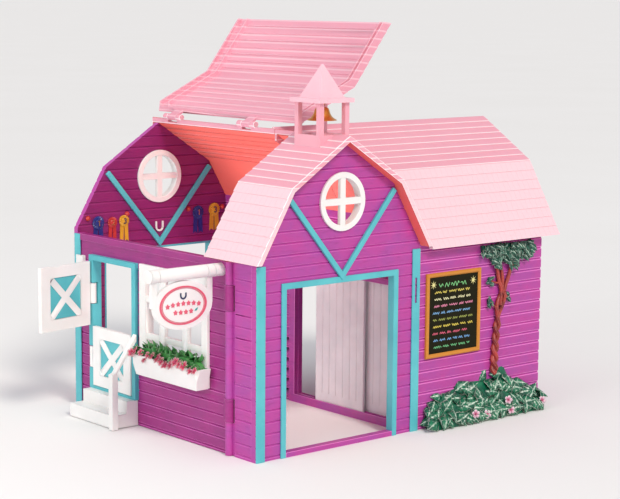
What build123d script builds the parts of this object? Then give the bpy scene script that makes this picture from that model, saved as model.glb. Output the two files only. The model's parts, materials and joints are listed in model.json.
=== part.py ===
from build123d import *
import os
from math import atan2, cos, degrees, pi, sin

os.makedirs("parts", exist_ok=True)

# Toy barn in millimetres. X runs across the front gable, Y to the back and Z up;
# the origin is under the middle of the front threshold.

# Hall
hall_half = 70.0
hall_depth = 200.0
wall = 4.5
face_x = -hall_half
ground_gap = 0.4
sliding_gap = 0.3
knuckle_sides = 16

# Siding: V grooves between planks
groove_pitch = 7.5
groove_first = 2.3
groove_half = 0.8
groove_depth = 0.7

# Main roof, right side from the ridge to the eave
ridge_z = 203.2
knee_half = hall_half - 22.2
knee_z = 172.2
eave_half = hall_half + 5.0
eave_z = 126.2
roof_thick = 3.3
roof_front = -7.7
roof_rear_lap = 3.2
front_roof_end = 47.0
roof_joint = 68.0
joint_rib_deep = 4.0
joint_rib_wide = 2.4
notch_depth = 0.7
notch_half = 0.8
course_count = 8
course_lap = 0.45

# Wing
wing_length = 120.5
wing_ridge_y = 70.2
wing_ridge_z = 204.2
wing_knee_half = 47.5
wing_knee_z = 174.8
wing_eave_half = 77.9
wing_eave_z = 124.0
wing_rake = 10.5

# Gable doorways and their trim
door_half = 46.0
door_top = 108.4
door_band = 4.0
frame_proud = 1.2
frame_liner = 1.5
frame_depth = 6.0
threshold_high = 3.4
threshold_proud = 1.2
trim_wide = 7.0
trim_proud = 1.0
trim_top = 124.5
slot_low = 88.0
slot_high = 105.0
slot_wide = 1.7
brace_wide = 5.0
brace_proud = 2.0
brace_top_x = knee_half - 3.6
brace_top_z = 164.7
brace_foot_z = 111.0

# Round windows
window_z = 160.8
window_radius = 19.0
window_ring = 3.8
window_plug = 2.0
window_proud = 1.6
window_bar = 4.4
window_sides = 48
window_plug_sides = 24
window_bar_set_back = 0.3
window_bar_behind = 1.5

# Swinging side wall, its post and hinge
corner_post = 4.0
panel_gap = 0.8
panel_start = 30.0
panel_end = hall_depth - corner_post - panel_gap
panel_top = 125.0
lip_low = 120.6
lip_proud = 1.2
band_low = 112.0
post_end = 21.0
hinge_x = face_x + 0.2
hinge_y = 26.6
rod_radius = 2.0
bead_radius = 2.9
clasp_radius = 3.4
clasp_arm_half = 1.7
web_outer = 0.6
web_inner = 2.4
running_gap = 0.05
clasp_zones = ((22.0, 37.0), (94.0, 110.0))
latch_low = 104.0
latch_high = 110.0
latch_wide = 4.0
latch_inset = 1.0
latch_thick = 1.4
latch_lap = 2.5

# Split door of the side wall
dutch_low = 18.0
dutch_high = 112.0
dutch_far = hall_depth - 18.0
dutch_near = dutch_far - 55.3
dutch_jamb_near = 4.1
dutch_jamb_far = 4.7
dutch_head = 3.7
dutch_sill = 2.0
dutch_proud = 3.0
leaf_thick = 3.2
leaf_stile = 8.5
leaf_rail = 8.0
leaf_bar = 5.0
leaf_bar_set_back = 0.3
infill_thick = 1.2
leaf_clear = 0.4
lower_leaf_low = 20.6
lower_leaf_high = 62.3
upper_leaf_low = 62.9
upper_leaf_high = 107.6
leaf_open_angle = 79.9
leaf_pin_x = face_x - 1.3
leaf_pin_y = dutch_far - 2.4
leaf_pin_radius = 1.3
leaf_knuckle = 2.5
leaf_knuckle_zones = ((33.0, 47.5), (78.0, 92.0))
leaf_pin_gap = 3.1
leaf_tab_outer = 2.2
leaf_tab_inner = 0.2
pin_reach = 2.0
stop_wide = 1.0
stop_thick = 1.5

# Side window and flower box
side_window_near = 47.2
side_window_far = dutch_near - 4.1
side_window_low = 40.0
side_window_high = 112.5
stile_near = 6.1
stile_far = 7.4
side_window_head = 5.2
side_window_sill = 10.0
side_window_proud = 2.2
side_window_flange = 2.0
mullion_starts = (side_window_near + 21.2, side_window_far - 28.9)
mullion_wide = 6.1
mullion_set_back = 0.3
muntin_lows = (62.3, 87.5)
muntin_high = 4.4
muntin_set_back = 0.5
bars_behind = 1.0
box_low = 40.0
box_high = 54.0
box_bottom_near = side_window_near - 1.2
box_bottom_far = side_window_far - 9.6
box_top_near = side_window_near - 4.2
box_top_far = side_window_far - 5.6
box_bottom_reach = 9.5
box_top_reach = 11.5
box_corner = 3.0
box_wall = 1.4
foliage_high = 60.0
foliage_dip = 2.0
foliage_tufts = 7

# Steps with newel and handrail
steps_near = dutch_near + 0.8
steps_far = dutch_far - 1.4
landing_reach = 9.5
tread_reach = 20.5
tread_high = 9.5
steps_shell = 1.8
newel_wide = 4.6
newel_top = 38.5
newel_reach = 23.0
newel_outside = 3.0
rail_top = 64.0
rail_deep = 4.6
rail_thick = 4.0

# Hanging sign
bar_y = 34.0
bar_z = 119.5
bar_radius = 4.15
bar_reach = 57.5
neck_radius = 3.2
collar_wide = 5.4
collar_places = (face_x - 53.8, face_x - 10.9)
board_x = face_x - 31.7
board_half_wide = 22.7
board_half_high = 15.3
board_thick = 2.4
board_sides = 64
strap_wide = 4.0

# Partition with two bypass doors
partition_x = hall_half - 9.0
partition_thick = 4.6
track_x = partition_x - 1.6
track_wide = 7.8
track_post = 6.0
sill_high = 6.0
track_deep = 1.5
header_low = 98.0
header_high = 102.0
header_deep = 2.0
opening_near = 19.0
opening_far = 117.0
slider_thick = 2.0
slider_wide = 50.2
slider_first_x = track_x + 1.0
slider_step = 3.8
slider_slot_low = 20.0
slider_slot_high = 80.0
slider_starts = (44.2, 24.0)
slider_rail = 7.5
plank_wide = 7.15
plank_groove = 0.5

# Roof flap, drawn shut on the left slope and then turned open
flap_start = 47.6
flap_thick = 3.0
flap_edge = 4.5
flap_rim = 6.0
flap_rim_wide = 1.2
flap_channel = 2.4
flap_angle = 186.9
flap_pivot_x = 0.8
flap_pivot_z = 204.4
flap_pin_radius = 1.1
flap_knuckle = 2.3
flap_ear = 5.0
flap_room = 3.4
flap_arm_reach = 2.0
flap_arm_thick = 2.2
flap_hinge_zones = ((89.0, 108.0), (hall_depth - 27.0, hall_depth - 7.0))

# Cupola and bell
cupola_y = 20.2
cupola_half = 12.5
cupola_post = 3.5
cupola_skirt = 25.0
cupola_rail_top = 202.8
plate_low = 223.4
plate_thick = 2.8
plate_half = 14.8
spire_half = 10.5
spire_top = 247.6
spire_tip = 0.5
bell_pivot_z = 222.0
bell_radius = 9.7
bell_high = 8.5
bell_sides = 24
bell_skin = 0.9
bell_drop = 1.9
bell_profile = ((1.0, 0.0), (0.62, 0.36), (0.46, 0.86), (0.3, 1.0))
bell_pin_radius = 0.7
bell_lug = 1.6
bell_lug_half = 1.4
bell_eye = 2.4
bell_eye_radius = 1.3

# Wing wall reliefs
board_left = hall_half + 6.0
board_right = board_left + 52.0
board_bottom = 48.2
board_top = 106.4
board_frame = 4.3
board_frame_thick = 2.2
board_panel_thick = 1.0
tree_x = hall_half + 72.4
trunk_thick = 3.0
trunk_fork = (7.6, 87.0)
trunk_stem = ((0.0, 31.0), (0.3, 44.0), (1.6, 60.0), (3.8, 76.0), trunk_fork)
trunk_left = (trunk_fork, (2.6, 97.0), (0.1, 106.0))
trunk_right = (trunk_fork, (12.0, 96.4), (17.2, 106.0))
stem_widths = (7.0, 6.4, 6.2, 6.0, 5.0)
branch_widths = (4.4, 3.8, 3.2)
foliage_thick = 4.0
crown_outline = (
    (-16.4, 121.5), (-15.4, 113.5), (-8.4, 112.5), (-6.4, 108.5), (0.6, 104.0), (7.6, 107.0), (13.6, 103.5),
    (22.6, 102.8), (25.6, 109.0), (31.6, 108.0), (39.6, 109.5), (40.6, 121.5),
)
spray_places = ((-5.2, 96.0), (-5.0, 81.0), (12.6, 84.0))
spray_radius = 3.8
bed_left = hall_half + 8.5
bed_right = hall_half + 117.0
bed_reach = 14.0
bed_section = ((0.0, 0.0), (14.0, 0.0), (13.0, 8.0), (7.0, 21.0), (2.5, 33.0), (0.0, 36.0))
bed_outline = (
    (0.0, 0.0), (1.0, 0.0), (0.98, 13.5), (0.9, 21.0), (0.79, 26.0), (0.72, 35.0), (0.665, 35.0), (0.62, 28.5),
    (0.49, 28.0), (0.36, 29.0), (0.235, 25.5), (0.1, 23.0), (0.02, 17.0),
)

# Decorations inside the rear gable
rosette_thick = 1.4
rosette_scallops = 10
rosette_places = {
    "blue": ((-53.0, 130.5, 5.0), (35.0, 132.0, 5.0)),
    "red": ((-41.0, 130.0, 4.0),),
    "yellow": ((-31.0, 130.5, 4.3), (50.0, 133.0, 5.0)),
}
rosette_notch = 0.9
rosette_tail = 10.5
shoe_z = 124.0
shoe_arm = 4.0
shoe_outer = 3.6
shoe_inner = 2.2
shoe_thick = 1.0
shoe_steps = 12

flange_y = hall_depth + wall
roof_back = flange_y + roof_rear_lap
wing_end = hall_half + wing_length
wing_depth = 2 * wing_ridge_y
leaf_outer_x = leaf_pin_x - leaf_knuckle
leaf_inner_x = leaf_outer_x + leaf_thick
leaf_far = leaf_pin_y - leaf_pin_gap
leaf_near = dutch_near + dutch_jamb_near + leaf_clear


def block(x0, x1, y0, y1, z0, z1):
    return Pos((x0 + x1) / 2, (y0 + y1) / 2, (z0 + z1) / 2) * Box(x1 - x0, y1 - y0, z1 - z0)


def along_x(points, x0, x1):
    plane = Plane(origin=(x0, 0, 0), x_dir=(0, 1, 0), z_dir=(1, 0, 0))
    return extrude(plane * Polygon(*points, align=None), amount=x1 - x0, dir=(1, 0, 0))


def along_y(points, y0, y1):
    plane = Plane(origin=(0, y0, 0), x_dir=(1, 0, 0), z_dir=(0, -1, 0))
    return extrude(plane * Polygon(*points, align=None), amount=y1 - y0, dir=(0, 1, 0))


def along_z(points, z0, z1):
    return extrude(Pos(0, 0, z0) * Polygon(*points, align=None), amount=z1 - z0, dir=(0, 0, 1))


def rod_x(radius, x0, x1, y, z):
    return Pos((x0 + x1) / 2, y, z) * Rot(0, 90, 0) * Cylinder(radius, x1 - x0)


def rod_y(radius, y0, y1, x, z):
    return Pos(x, (y0 + y1) / 2, z) * Rot(90, 0, 0) * Cylinder(radius, y1 - y0)


def rod_z(radius, z0, z1, x, y):
    return Pos(x, y, (z0 + z1) / 2) * Cylinder(radius, z1 - z0)


def prism_y(radius, sides, y0, y1, x, z):
    """Many-sided bar along Y, where a true round would only add facets."""
    plane = Plane(origin=(x, y0, z), x_dir=(1, 0, 0), z_dir=(0, -1, 0))
    return extrude(plane * RegularPolygon(radius, sides), amount=y1 - y0, dir=(0, 1, 0))


def prism_z(radius, sides, z0, z1, x, y):
    return extrude(Pos(x, y, z0) * RegularPolygon(radius, sides), amount=z1 - z0)


def mirrored(points):
    return [(-u, v) for u, v in reversed(points)]


def inset(side, distance):
    """Both slopes of a roof side, moved square to themselves towards the inside."""
    (_, top), (knee_u, knee_v), (eave_u, eave_v) = side
    upper = atan2(top - knee_v, knee_u)
    lower = atan2(knee_v - eave_v, eave_u - knee_u)
    middle = (upper + lower) / 2
    reach = distance / cos((lower - upper) / 2)
    knee = (knee_u - reach * sin(middle), knee_v - reach * cos(middle))
    return [(0, top - distance / cos(upper)), knee, (eave_u - distance / sin(lower), eave_v)]


def height_at(side, u):
    """Height of a roof side at a distance from its ridge."""
    start, end = (side[0], side[1]) if u < side[1][0] else (side[1], side[2])
    return start[1] + (end[1] - start[1]) * (u - start[0]) / (end[0] - start[0])


def courses(start, end, lap):
    """Sawtooth edge down a slope, one tooth to each plank course."""
    slope = atan2(start[1] - end[1], end[0] - start[0])
    step_u = (end[0] - start[0]) / course_count
    step_v = (end[1] - start[1]) / course_count
    points = []
    for k in range(course_count):
        points.append((start[0] + step_u * k, start[1] + step_v * k))
        foot_u = start[0] + step_u * (k + 1) + lap * sin(slope)
        points.append((foot_u, start[1] + step_v * (k + 1) + lap * cos(slope)))
    return points


def notches(start, end, depth, half):
    """Edge down a slope with a V notch into the plate under each course."""
    slope = atan2(start[1] - end[1], end[0] - start[0])
    step_u = (end[0] - start[0]) / course_count
    step_v = (end[1] - start[1]) / course_count
    points = [start]
    for k in range(1, course_count):
        u = start[0] + step_u * k
        v = start[1] + step_v * k
        points.append((u - half * cos(slope), v + half * sin(slope)))
        points.append((u + depth * sin(slope), v + depth * cos(slope)))
        points.append((u + half * cos(slope), v - half * sin(slope)))
    points.append(end)
    return points


main_side = [(0, ridge_z), (knee_half, knee_z), (eave_half, eave_z)]
main_under = inset(main_side, roof_thick)
wing_side = [(0, wing_ridge_z), (wing_knee_half, wing_knee_z), (wing_eave_half, wing_eave_z)]
wing_under = inset(wing_side, roof_thick)


def outer_edge(side):
    return courses(side[0], side[1], course_lap) + courses(side[1], side[2], course_lap)


def siding_edge(u, inward, z0, z1, top=None):
    """Upright edge of a plank wall with its V grooves cut inwards."""
    if not inward:
        return [(u, z0), (u, z1)]
    points = [(u, z0)]
    z = groove_first
    while z + groove_half < (top or z1):
        if z - groove_half > z0:
            points.append((u, z - groove_half))
            points.append((u + inward * groove_depth, z))
            points.append((u, z + groove_half))
        z += groove_pitch
    points.append((u, z1))
    return points


def gable_outline(under, half):
    top = height_at(under, half)
    right = [under[0], under[1], (half, top), (half, 0)]
    return mirrored(right)[:-1] + right


def doorway_cut(y0, y1, half, top):
    return block(-half, half, y0, y1, -1, top)


def gable(y0, y1, front_inward, back_inward):
    """Gambrel wall with a doorway, a round window hole and siding."""
    front = siding_edge(y0, front_inward, 0, ridge_z)
    back = siding_edge(y1, back_inward, 0, ridge_z)
    slab = along_x(front + back[::-1], -hall_half, hall_half)
    shape = slab & along_y(gable_outline(main_under, hall_half), y0 - 1, y1 + 1)
    shape -= doorway_cut(y0 - 1, y1 + 1, door_half + frame_liner, door_top + frame_liner)
    return shape - window_core(y0 - 1, y1 + 1)


def window_core(y0, y1):
    """Plug of a round window; the ring's lip covers its corners."""
    return prism_y(window_radius - window_plug, window_plug_sides, y0, y1, 0, window_z)


def door_frame(face_y, back_y, outward):
    """Flat band on the face with a liner through the doorway."""
    lip = face_y + outward * frame_proud
    low, high = sorted((lip, face_y))
    band = doorway_cut(low, high, door_half + door_band, door_top + door_band)
    low, high = sorted((face_y, back_y))
    liner = doorway_cut(low, high, door_half + frame_liner, door_top + frame_liner)
    shape = band + liner
    shape -= doorway_cut(-50, 2 * hall_depth, door_half, door_top)
    return shape & block(-hall_half, hall_half, -50, 2 * hall_depth, 0, ridge_z)


def v_brace(y0, y1, foot_z):
    angle = degrees(atan2(brace_top_z - brace_foot_z, brace_top_x))
    bars = None
    for side in (1, -1):
        bar = Pos(0, (y0 + y1) / 2, foot_z) * Rot(0, -angle, 0) * Box(180, y1 - y0, brace_wide)
        bar = bar if side == 1 else mirror(bar, Plane.YZ)
        half = block(0, hall_half, y0, y1, 0, ridge_z)
        half = half if side == 1 else mirror(half, Plane.YZ)
        bars = bar & half if bars is None else bars + (bar & half)
    limit = along_y(gable_outline(main_under, hall_half), y0 - 1, y1 + 1)
    return (bars & limit) - doorway_cut(y0 - 1, y1 + 1, hall_half + 1, foot_z)


def round_window(face_y, outward):
    """Ring with a proud lip, a plug into the wall and a cross."""
    lip = face_y + outward * window_proud
    back = face_y - outward * wall
    inner = window_radius - window_ring
    low, high = sorted((lip, face_y))
    ring = prism_y(window_radius, window_sides, low, high, 0, window_z)
    low, high = sorted((face_y, back))
    ring += window_core(low, high)
    low, high = sorted((lip, back))
    ring -= prism_y(inner, window_sides, low - 1, high + 1, 0, window_z)
    half = window_bar / 2
    bar_low, bar_high = sorted((lip - outward * window_bar_set_back, face_y - outward * window_bar_behind))
    bars = block(-half, half, bar_low, bar_high, window_z - inner, window_z + inner)
    bars += block(-inner, inner, bar_low, bar_high, window_z - half, window_z + half)
    return ring + (bars & prism_y(inner + window_proud / 2, window_sides, low, high, 0, window_z))


def front_corner_trims():
    shape = block(-hall_half, -hall_half + trim_wide, -trim_proud, 0, 0, trim_top)
    right = block(hall_half - trim_wide, hall_half, -trim_proud, 0, 0, trim_top)
    middle = hall_half - trim_wide / 2
    slot = block(middle - slot_wide / 2, middle + slot_wide / 2, -5, 5, slot_low, slot_high)
    return Compound(children=[shape, right - slot])


def rear_gable_wall():
    shape = gable(hall_depth, flange_y, 1, -1)
    post = block(face_x, face_x + wall, hall_depth - corner_post, hall_depth, 0, panel_top)
    return shape + post


def rear_corner_trims():
    low = hall_depth - corner_post
    left = block(face_x - trim_proud, face_x, low, low + trim_wide, 0, trim_top)
    right = block(hall_half, hall_half + trim_proud, hall_depth, low + trim_wide, 0, trim_top)
    return Compound(children=[left, right])


def side_wall_post():
    """Short fixed stretch of the side wall ending in the hinge bead."""
    top = height_at(main_under, hall_half)
    face = siding_edge(face_x, 1, 0, top, lip_low)
    points = face + [(face_x + wall, height_at(main_under, hall_half - wall)), (face_x + wall, 0)]
    post = along_y(points, wall, post_end)
    web = block(face_x + web_outer, face_x + web_inner, post_end, hinge_y, ground_gap, panel_top)
    bead = prism_z(bead_radius, knuckle_sides, ground_gap, panel_top, hinge_x, hinge_y)
    strip = web + bead
    room = hinge_y - post_end
    for low, high in clasp_zones:
        strip -= block(
            hinge_x - room, hinge_x + room, post_end + 1, hinge_y + room, low - sliding_gap, high + sliding_gap
        )
    strip -= rod_z(rod_radius, -1, panel_top + 1, hinge_x, hinge_y)
    return post + strip


def side_wall_hinge_rod():
    return rod_z(rod_radius, ground_gap, panel_top, hinge_x, hinge_y)


def side_wall_panel():
    """Swinging side wall with holes for the split door and the window."""
    x0 = face_x - 1
    x1 = face_x + wall + 1
    face = siding_edge(face_x, 1, ground_gap, lip_low, band_low)
    lip = [(face_x - lip_proud, lip_low), (face_x - lip_proud, panel_top)]
    points = face + lip + [(face_x + wall, panel_top), (face_x + wall, ground_gap)]
    shape = along_y(points, panel_start, panel_end)
    shape -= block(x0, x1, dutch_near, dutch_far, dutch_low, dutch_high)
    rim = side_window_flange
    shape -= block(
        x0, x1, side_window_near + rim, side_window_far - rim, side_window_low + rim, side_window_high - rim
    )
    shape -= rod_x(bar_radius, face_x - lip_proud - 1, face_x, bar_y, bar_z)
    arm = clasp_arm_half
    for low, high in clasp_zones:
        clasp = prism_z(clasp_radius, knuckle_sides, low, high, hinge_x, hinge_y)
        clasp += block(hinge_x - arm, hinge_x + arm, hinge_y, panel_start + 1, low, high)
        shape += clasp - rod_z(rod_radius + running_gap, low - 1, high + 1, hinge_x, hinge_y)
    return shape


def side_wall_latch():
    """Hook at the free end that laps over the rear corner trim."""
    outer = face_x - trim_proud - sliding_gap
    end = panel_end - latch_inset
    start = end - latch_wide
    pad = block(outer, face_x, start, end, latch_low, latch_high)
    hook_end = hall_depth - corner_post + latch_lap
    return pad + block(outer - latch_thick, outer, start, hook_end, latch_low, latch_high)


def dutch_door_frame():
    """Frame of the split door, notched round the leaf knuckles."""
    outer = face_x - dutch_proud
    inner = face_x + wall
    low = dutch_low + dutch_sill
    high = dutch_high - dutch_head
    near = dutch_near + dutch_jamb_near
    far = dutch_far - dutch_jamb_far
    shape = block(outer, inner, dutch_near, dutch_far, dutch_low, dutch_high)
    shape -= block(outer - 1, inner + 1, near, far, low, high)
    stop_x = leaf_inner_x + leaf_clear
    shape += block(stop_x, stop_x + stop_thick, near, near + stop_wide, low, high)
    room = leaf_pin_x + leaf_knuckle + leaf_clear
    for start, end in leaf_knuckle_zones:
        shape -= block(outer - 1, room, far - 1, dutch_far + 1, start - leaf_clear, end + leaf_clear)
        shape -= rod_z(leaf_pin_radius, start - pin_reach, end + pin_reach, leaf_pin_x, leaf_pin_y)
    return shape


def dutch_hinge_pins():
    pins = []
    for low, high in leaf_knuckle_zones:
        pins.append(rod_z(leaf_pin_radius, low - pin_reach, high + pin_reach, leaf_pin_x, leaf_pin_y))
    return Compound(children=pins)


def leaf_hole(low, high):
    return (leaf_near + leaf_stile, leaf_far - leaf_stile, low + leaf_rail, high - leaf_rail)


def leaf_frame(low, high, zone):
    """Leaf with stiles, rails, a saltire of bars and a knuckle on its pin."""
    y0, y1, z0, z1 = leaf_hole(low, high)
    opening = block(leaf_outer_x - 1, leaf_inner_x + 1, y0, y1, z0, z1)
    shape = block(leaf_outer_x, leaf_inner_x, leaf_near, leaf_far, low, high) - opening
    angle = degrees(atan2(z1 - z0, y1 - y0))
    middle = Pos((leaf_outer_x + leaf_inner_x) / 2, (y0 + y1) / 2, (z0 + z1) / 2)
    bar = Box(leaf_thick - 2 * leaf_bar_set_back, 2 * (y1 - y0 + z1 - z0), leaf_bar)
    for turn in (angle, -angle):
        shape += (middle * Rot(turn, 0, 0) * bar) & opening
    shape -= leaf_infill(low, high)
    start, end = zone
    shape += prism_z(leaf_knuckle, knuckle_sides, start, end, leaf_pin_x, leaf_pin_y)
    shape += block(
        leaf_pin_x - leaf_tab_outer, leaf_pin_x - leaf_tab_inner, leaf_far - 1, leaf_pin_y, start, end
    )
    return shape - rod_z(leaf_pin_radius + running_gap, start - 1, end + 1, leaf_pin_x, leaf_pin_y)


def leaf_infill(low, high):
    """Thin sheet held in the middle of the leaf, between the bars' two faces."""
    y0, y1, z0, z1 = leaf_hole(low, high)
    middle = (leaf_outer_x + leaf_inner_x) / 2
    return block(middle - infill_thick / 2, middle + infill_thick / 2, y0, y1, z0, z1)


def opened(leaf):
    return leaf.rotate(Axis((leaf_pin_x, leaf_pin_y, 0), (0, 0, 1)), -leaf_open_angle)


def side_window_frame():
    """Flanged casement with two mullions and two muntins."""
    outer = face_x - side_window_proud
    y0 = side_window_near
    y1 = side_window_far
    z0 = side_window_low
    z1 = side_window_high
    rim = side_window_flange
    shape = block(outer, face_x, y0, y1, z0, z1)
    shape += block(face_x, face_x + wall, y0 + rim, y1 - rim, z0 + rim, z1 - rim)
    low = z0 + side_window_sill
    high = z1 - side_window_head
    near = y0 + stile_near
    far = y1 - stile_far
    shape -= block(outer - 1, face_x + wall + 1, near, far, low, high)
    back = face_x + bars_behind
    for start in mullion_starts:
        shape += block(outer + mullion_set_back, back, start, start + mullion_wide, low, high)
    for start in muntin_lows:
        shape += block(outer + muntin_set_back, back, near, far, start, start + muntin_high)
    return shape


def trough(shrink, low, high):
    """Tapered trough shape with bevelled front corners."""
    back = face_x - side_window_proud
    reach = box_top_reach - shrink
    section = [
        (back, box_low), (back - box_bottom_reach + shrink, box_low), (back - reach, box_high), (back, box_high)
    ]
    front = [
        (box_bottom_near + shrink, box_low), (box_bottom_far - shrink, box_low),
        (box_top_far - shrink, box_high), (box_top_near + shrink, box_high),
    ]
    cut = box_corner - shrink
    near = box_top_near + shrink
    far = box_top_far - shrink
    plan = [
        (back, near), (back - reach + cut, near), (back - reach, near + box_corner), (back - reach, far - box_corner),
        (back - reach + cut, far), (back, far),
    ]
    shape = along_y(section, box_top_near, box_top_far) & along_x(front, back - box_top_reach, back)
    return shape & along_z(plan, low, high)


def flower_box():
    inside = trough(box_wall, box_low + box_wall, box_high)
    back = face_x - side_window_proud
    return trough(0, box_low, box_high) - (inside & block(back - hall_half, back - box_wall, 0, hall_depth, 0, box_high))


def flower_foliage():
    """Bed of leaves that fills the trough and mounds up above its rim."""
    back = face_x - side_window_proud
    fill = trough(box_wall, box_low + box_wall, box_high)
    fill &= block(back - hall_half, back - box_wall, 0, hall_depth, 0, box_high)
    near = box_top_near + box_wall + box_corner
    far = box_top_far - box_wall - box_corner
    points = [(near, box_high)]
    for k in range(foliage_tufts):
        y = near + (far - near) * (k + 0.5) / foliage_tufts
        points.append((y, foliage_high if k % 2 else foliage_high - foliage_dip))
    points.append((far, box_high))
    return fill + along_x(points, back - box_top_reach + 2 * box_wall, back - box_wall)


def entry_steps():
    """Hollow two-step stoop, moulded with its newel and sloping handrail."""
    base = ground_gap
    back = face_x
    skin = steps_shell
    outline = [
        (back, base), (back - tread_reach, base), (back - tread_reach, tread_high),
        (back - landing_reach, tread_high), (back - landing_reach, dutch_low), (back, dutch_low),
    ]
    hollow = [
        (back - skin, base - 1), (back - tread_reach + skin, base - 1),
        (back - tread_reach + skin, tread_high - skin), (back - landing_reach + skin, tread_high - skin),
        (back - landing_reach + skin, dutch_low - skin), (back - skin, dutch_low - skin),
    ]
    shape = along_y(outline, steps_near, steps_far) - along_y(hollow, steps_near + skin, steps_far - skin)
    post_x = back - newel_reach
    side = steps_near - newel_outside
    shape += block(post_x, post_x + newel_wide, side, side + newel_wide, base, newel_top)
    wall_x = face_x - dutch_proud
    rail = [
        (post_x, newel_top - rail_deep), (wall_x, rail_top - rail_deep),
        (wall_x, rail_top), (post_x + newel_wide / 2, newel_top + 1), (post_x, newel_top),
    ]
    return shape + along_y(rail, side, side + rail_thick)


def sign_bar():
    """Bar fixed to the side wall, necked where the sign's collars turn."""
    shape = rod_x(bar_radius, face_x - bar_reach, face_x, bar_y, bar_z)
    half = collar_wide / 2 + sliding_gap
    for centre in collar_places:
        ring = rod_x(bar_radius + 1, centre - half, centre + half, bar_y, bar_z)
        shape -= ring - rod_x(neck_radius, centre - half, centre + half, bar_y, bar_z)
    return shape


def sign_board():
    """Oval board on two straps with collars round the bar."""
    board_z = bar_z - bar_radius - sliding_gap - board_half_high
    y0 = bar_y - board_thick / 2
    y1 = bar_y + board_thick / 2
    oval = []
    for k in range(board_sides):
        angle = 2 * pi * k / board_sides
        oval.append((board_x + board_half_wide * cos(angle), board_z + board_half_high * sin(angle)))
    shape = along_y(oval, y0, y1)
    for centre in collar_places:
        low = centre - collar_wide / 2
        high = centre + collar_wide / 2
        strap = block(centre - strap_wide / 2, centre + strap_wide / 2, y0, y1, board_z, bar_z)
        shape += rod_x(bar_radius, low, high, bar_y, bar_z) + strap
        shape -= rod_x(neck_radius + running_gap, low - 1, high + 1, bar_y, bar_z)
    return shape


def partition_wall():
    """Wall between hall and wing with sill and header tracks for the doors."""
    x0 = partition_x
    x1 = partition_x + partition_thick
    left = siding_edge(x0, 1, 0, height_at(main_under, x0))
    right = siding_edge(x1, 0, 0, height_at(main_under, x1))
    shape = along_y(left + right[::-1], wall, hall_depth)
    shape -= block(x0 - 1, x1 + 1, opening_near, opening_far, -1, header_high)
    track_end = track_x + track_wide
    shape += block(track_x, track_end, wall, opening_far, 0, sill_high)
    shape += block(track_x, track_end, wall, opening_far, header_low, header_high)
    shape += block(track_x, track_end, opening_far, opening_far + track_post, 0, header_high)
    shape += block(track_x, track_end, opening_near - track_post, opening_near, 0, header_high)
    for k in range(2):
        start = slider_first_x + k * slider_step - sliding_gap
        end = start + slider_thick + 2 * sliding_gap
        shape -= block(start, end, opening_near, opening_far, sill_high - track_deep, slider_slot_low)
        shape -= block(start, end, opening_near, opening_far, slider_slot_high, header_low + header_deep)
    return shape


def sliding_door(index):
    """Plank door with V joints and a plain bottom rail."""
    x0 = slider_first_x + index * slider_step
    x1 = x0 + slider_thick
    y0 = slider_starts[index]
    y1 = y0 + slider_wide
    count = round(slider_wide / plank_wide)
    front = [(x0, y0)]
    back = [(x1, y0)]
    for k in range(1, count):
        y = y0 + slider_wide * k / count
        front += [(x0, y - plank_groove), (x0 + plank_groove, y), (x0, y + plank_groove)]
        back += [(x1, y - plank_groove), (x1 - plank_groove, y), (x1, y + plank_groove)]
    points = front + [(x0, y1), (x1, y1)] + back[::-1]
    low = sill_high - track_deep + sliding_gap
    high = header_low + header_deep - sliding_gap
    return along_z(points, low + slider_rail, high) + block(x0, x1, y0, y1, low, low + slider_rail)


def wing_front_wall():
    top = wing_ridge_z
    points = siding_edge(0, 1, 0, top) + [(wall, top), (wall, 0)]
    shape = along_x(points, hall_half, wing_end) & wing_gable(hall_half - 1, wing_end + 1)
    return shape - along_y(right_slope(main_under[::-1]), -1, wall + 1)


def wing_gable(x0, x1):
    outline = gable_outline(wing_under, wing_ridge_y)
    return along_x([(u + wing_ridge_y, v) for u, v in outline], x0, x1)


def wing_end_wall():
    points = [(wing_end - wall, 0), (wing_end - wall, wing_ridge_z)]
    points += siding_edge(wing_end, -1, 0, wing_ridge_z)[::-1]
    return along_y(points, wall, wing_depth) & wing_gable(wing_end - 50, wing_end + 50)


def right_slope(under_edge):
    return outer_edge(main_side) + under_edge


def front_roof():
    """Both slopes over the front gable and the first bay of the right slope."""
    right = outer_edge(main_side)
    under = main_under[::-1]
    full = right + under + mirrored(under)[1:] + mirrored(right)[:-1]
    shape = along_y(full, roof_front, front_roof_end)
    shape += along_y(right_slope(under), front_roof_end, roof_joint)
    rib = main_under[:2] + inset(main_side, roof_thick + joint_rib_deep)[:2][::-1]
    return shape + along_y(rib, roof_joint - joint_rib_wide, roof_joint)


def flap_ears(shape):
    """Add the ridge ears of the flap hinge and clear room for its knuckles."""
    for low, high in flap_hinge_zones:
        shape -= block(
            flap_pivot_x - flap_room, flap_pivot_x + flap_room, low + flap_ear, high - flap_ear,
            flap_pivot_z - flap_room, flap_pivot_z + flap_room,
        )
        shape += prism_y(flap_knuckle, knuckle_sides, low, low + flap_ear, flap_pivot_x, flap_pivot_z)
        shape += prism_y(flap_knuckle, knuckle_sides, high - flap_ear, high, flap_pivot_x, flap_pivot_z)
        shape -= rod_y(flap_pin_radius, low - 0.5, high + 0.5, flap_pivot_x, flap_pivot_z)
    return shape


def rear_roof():
    """Right slope behind the joint, notched under each upper course."""
    ribbed = notches(main_under[0], main_under[1], notch_depth, notch_half)
    shape = along_y(right_slope([main_under[2]] + ribbed[::-1]), roof_joint, roof_back)
    shape += along_y(main_under + inset(main_side, flap_rim)[::-1], roof_back - flap_rim_wide, roof_back)
    return flap_ears(shape)


def flap_hinge_pins():
    pins = []
    for low, high in flap_hinge_zones:
        pins.append(rod_y(flap_pin_radius, low, high, flap_pivot_x, flap_pivot_z))
    return Compound(children=pins)


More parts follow.
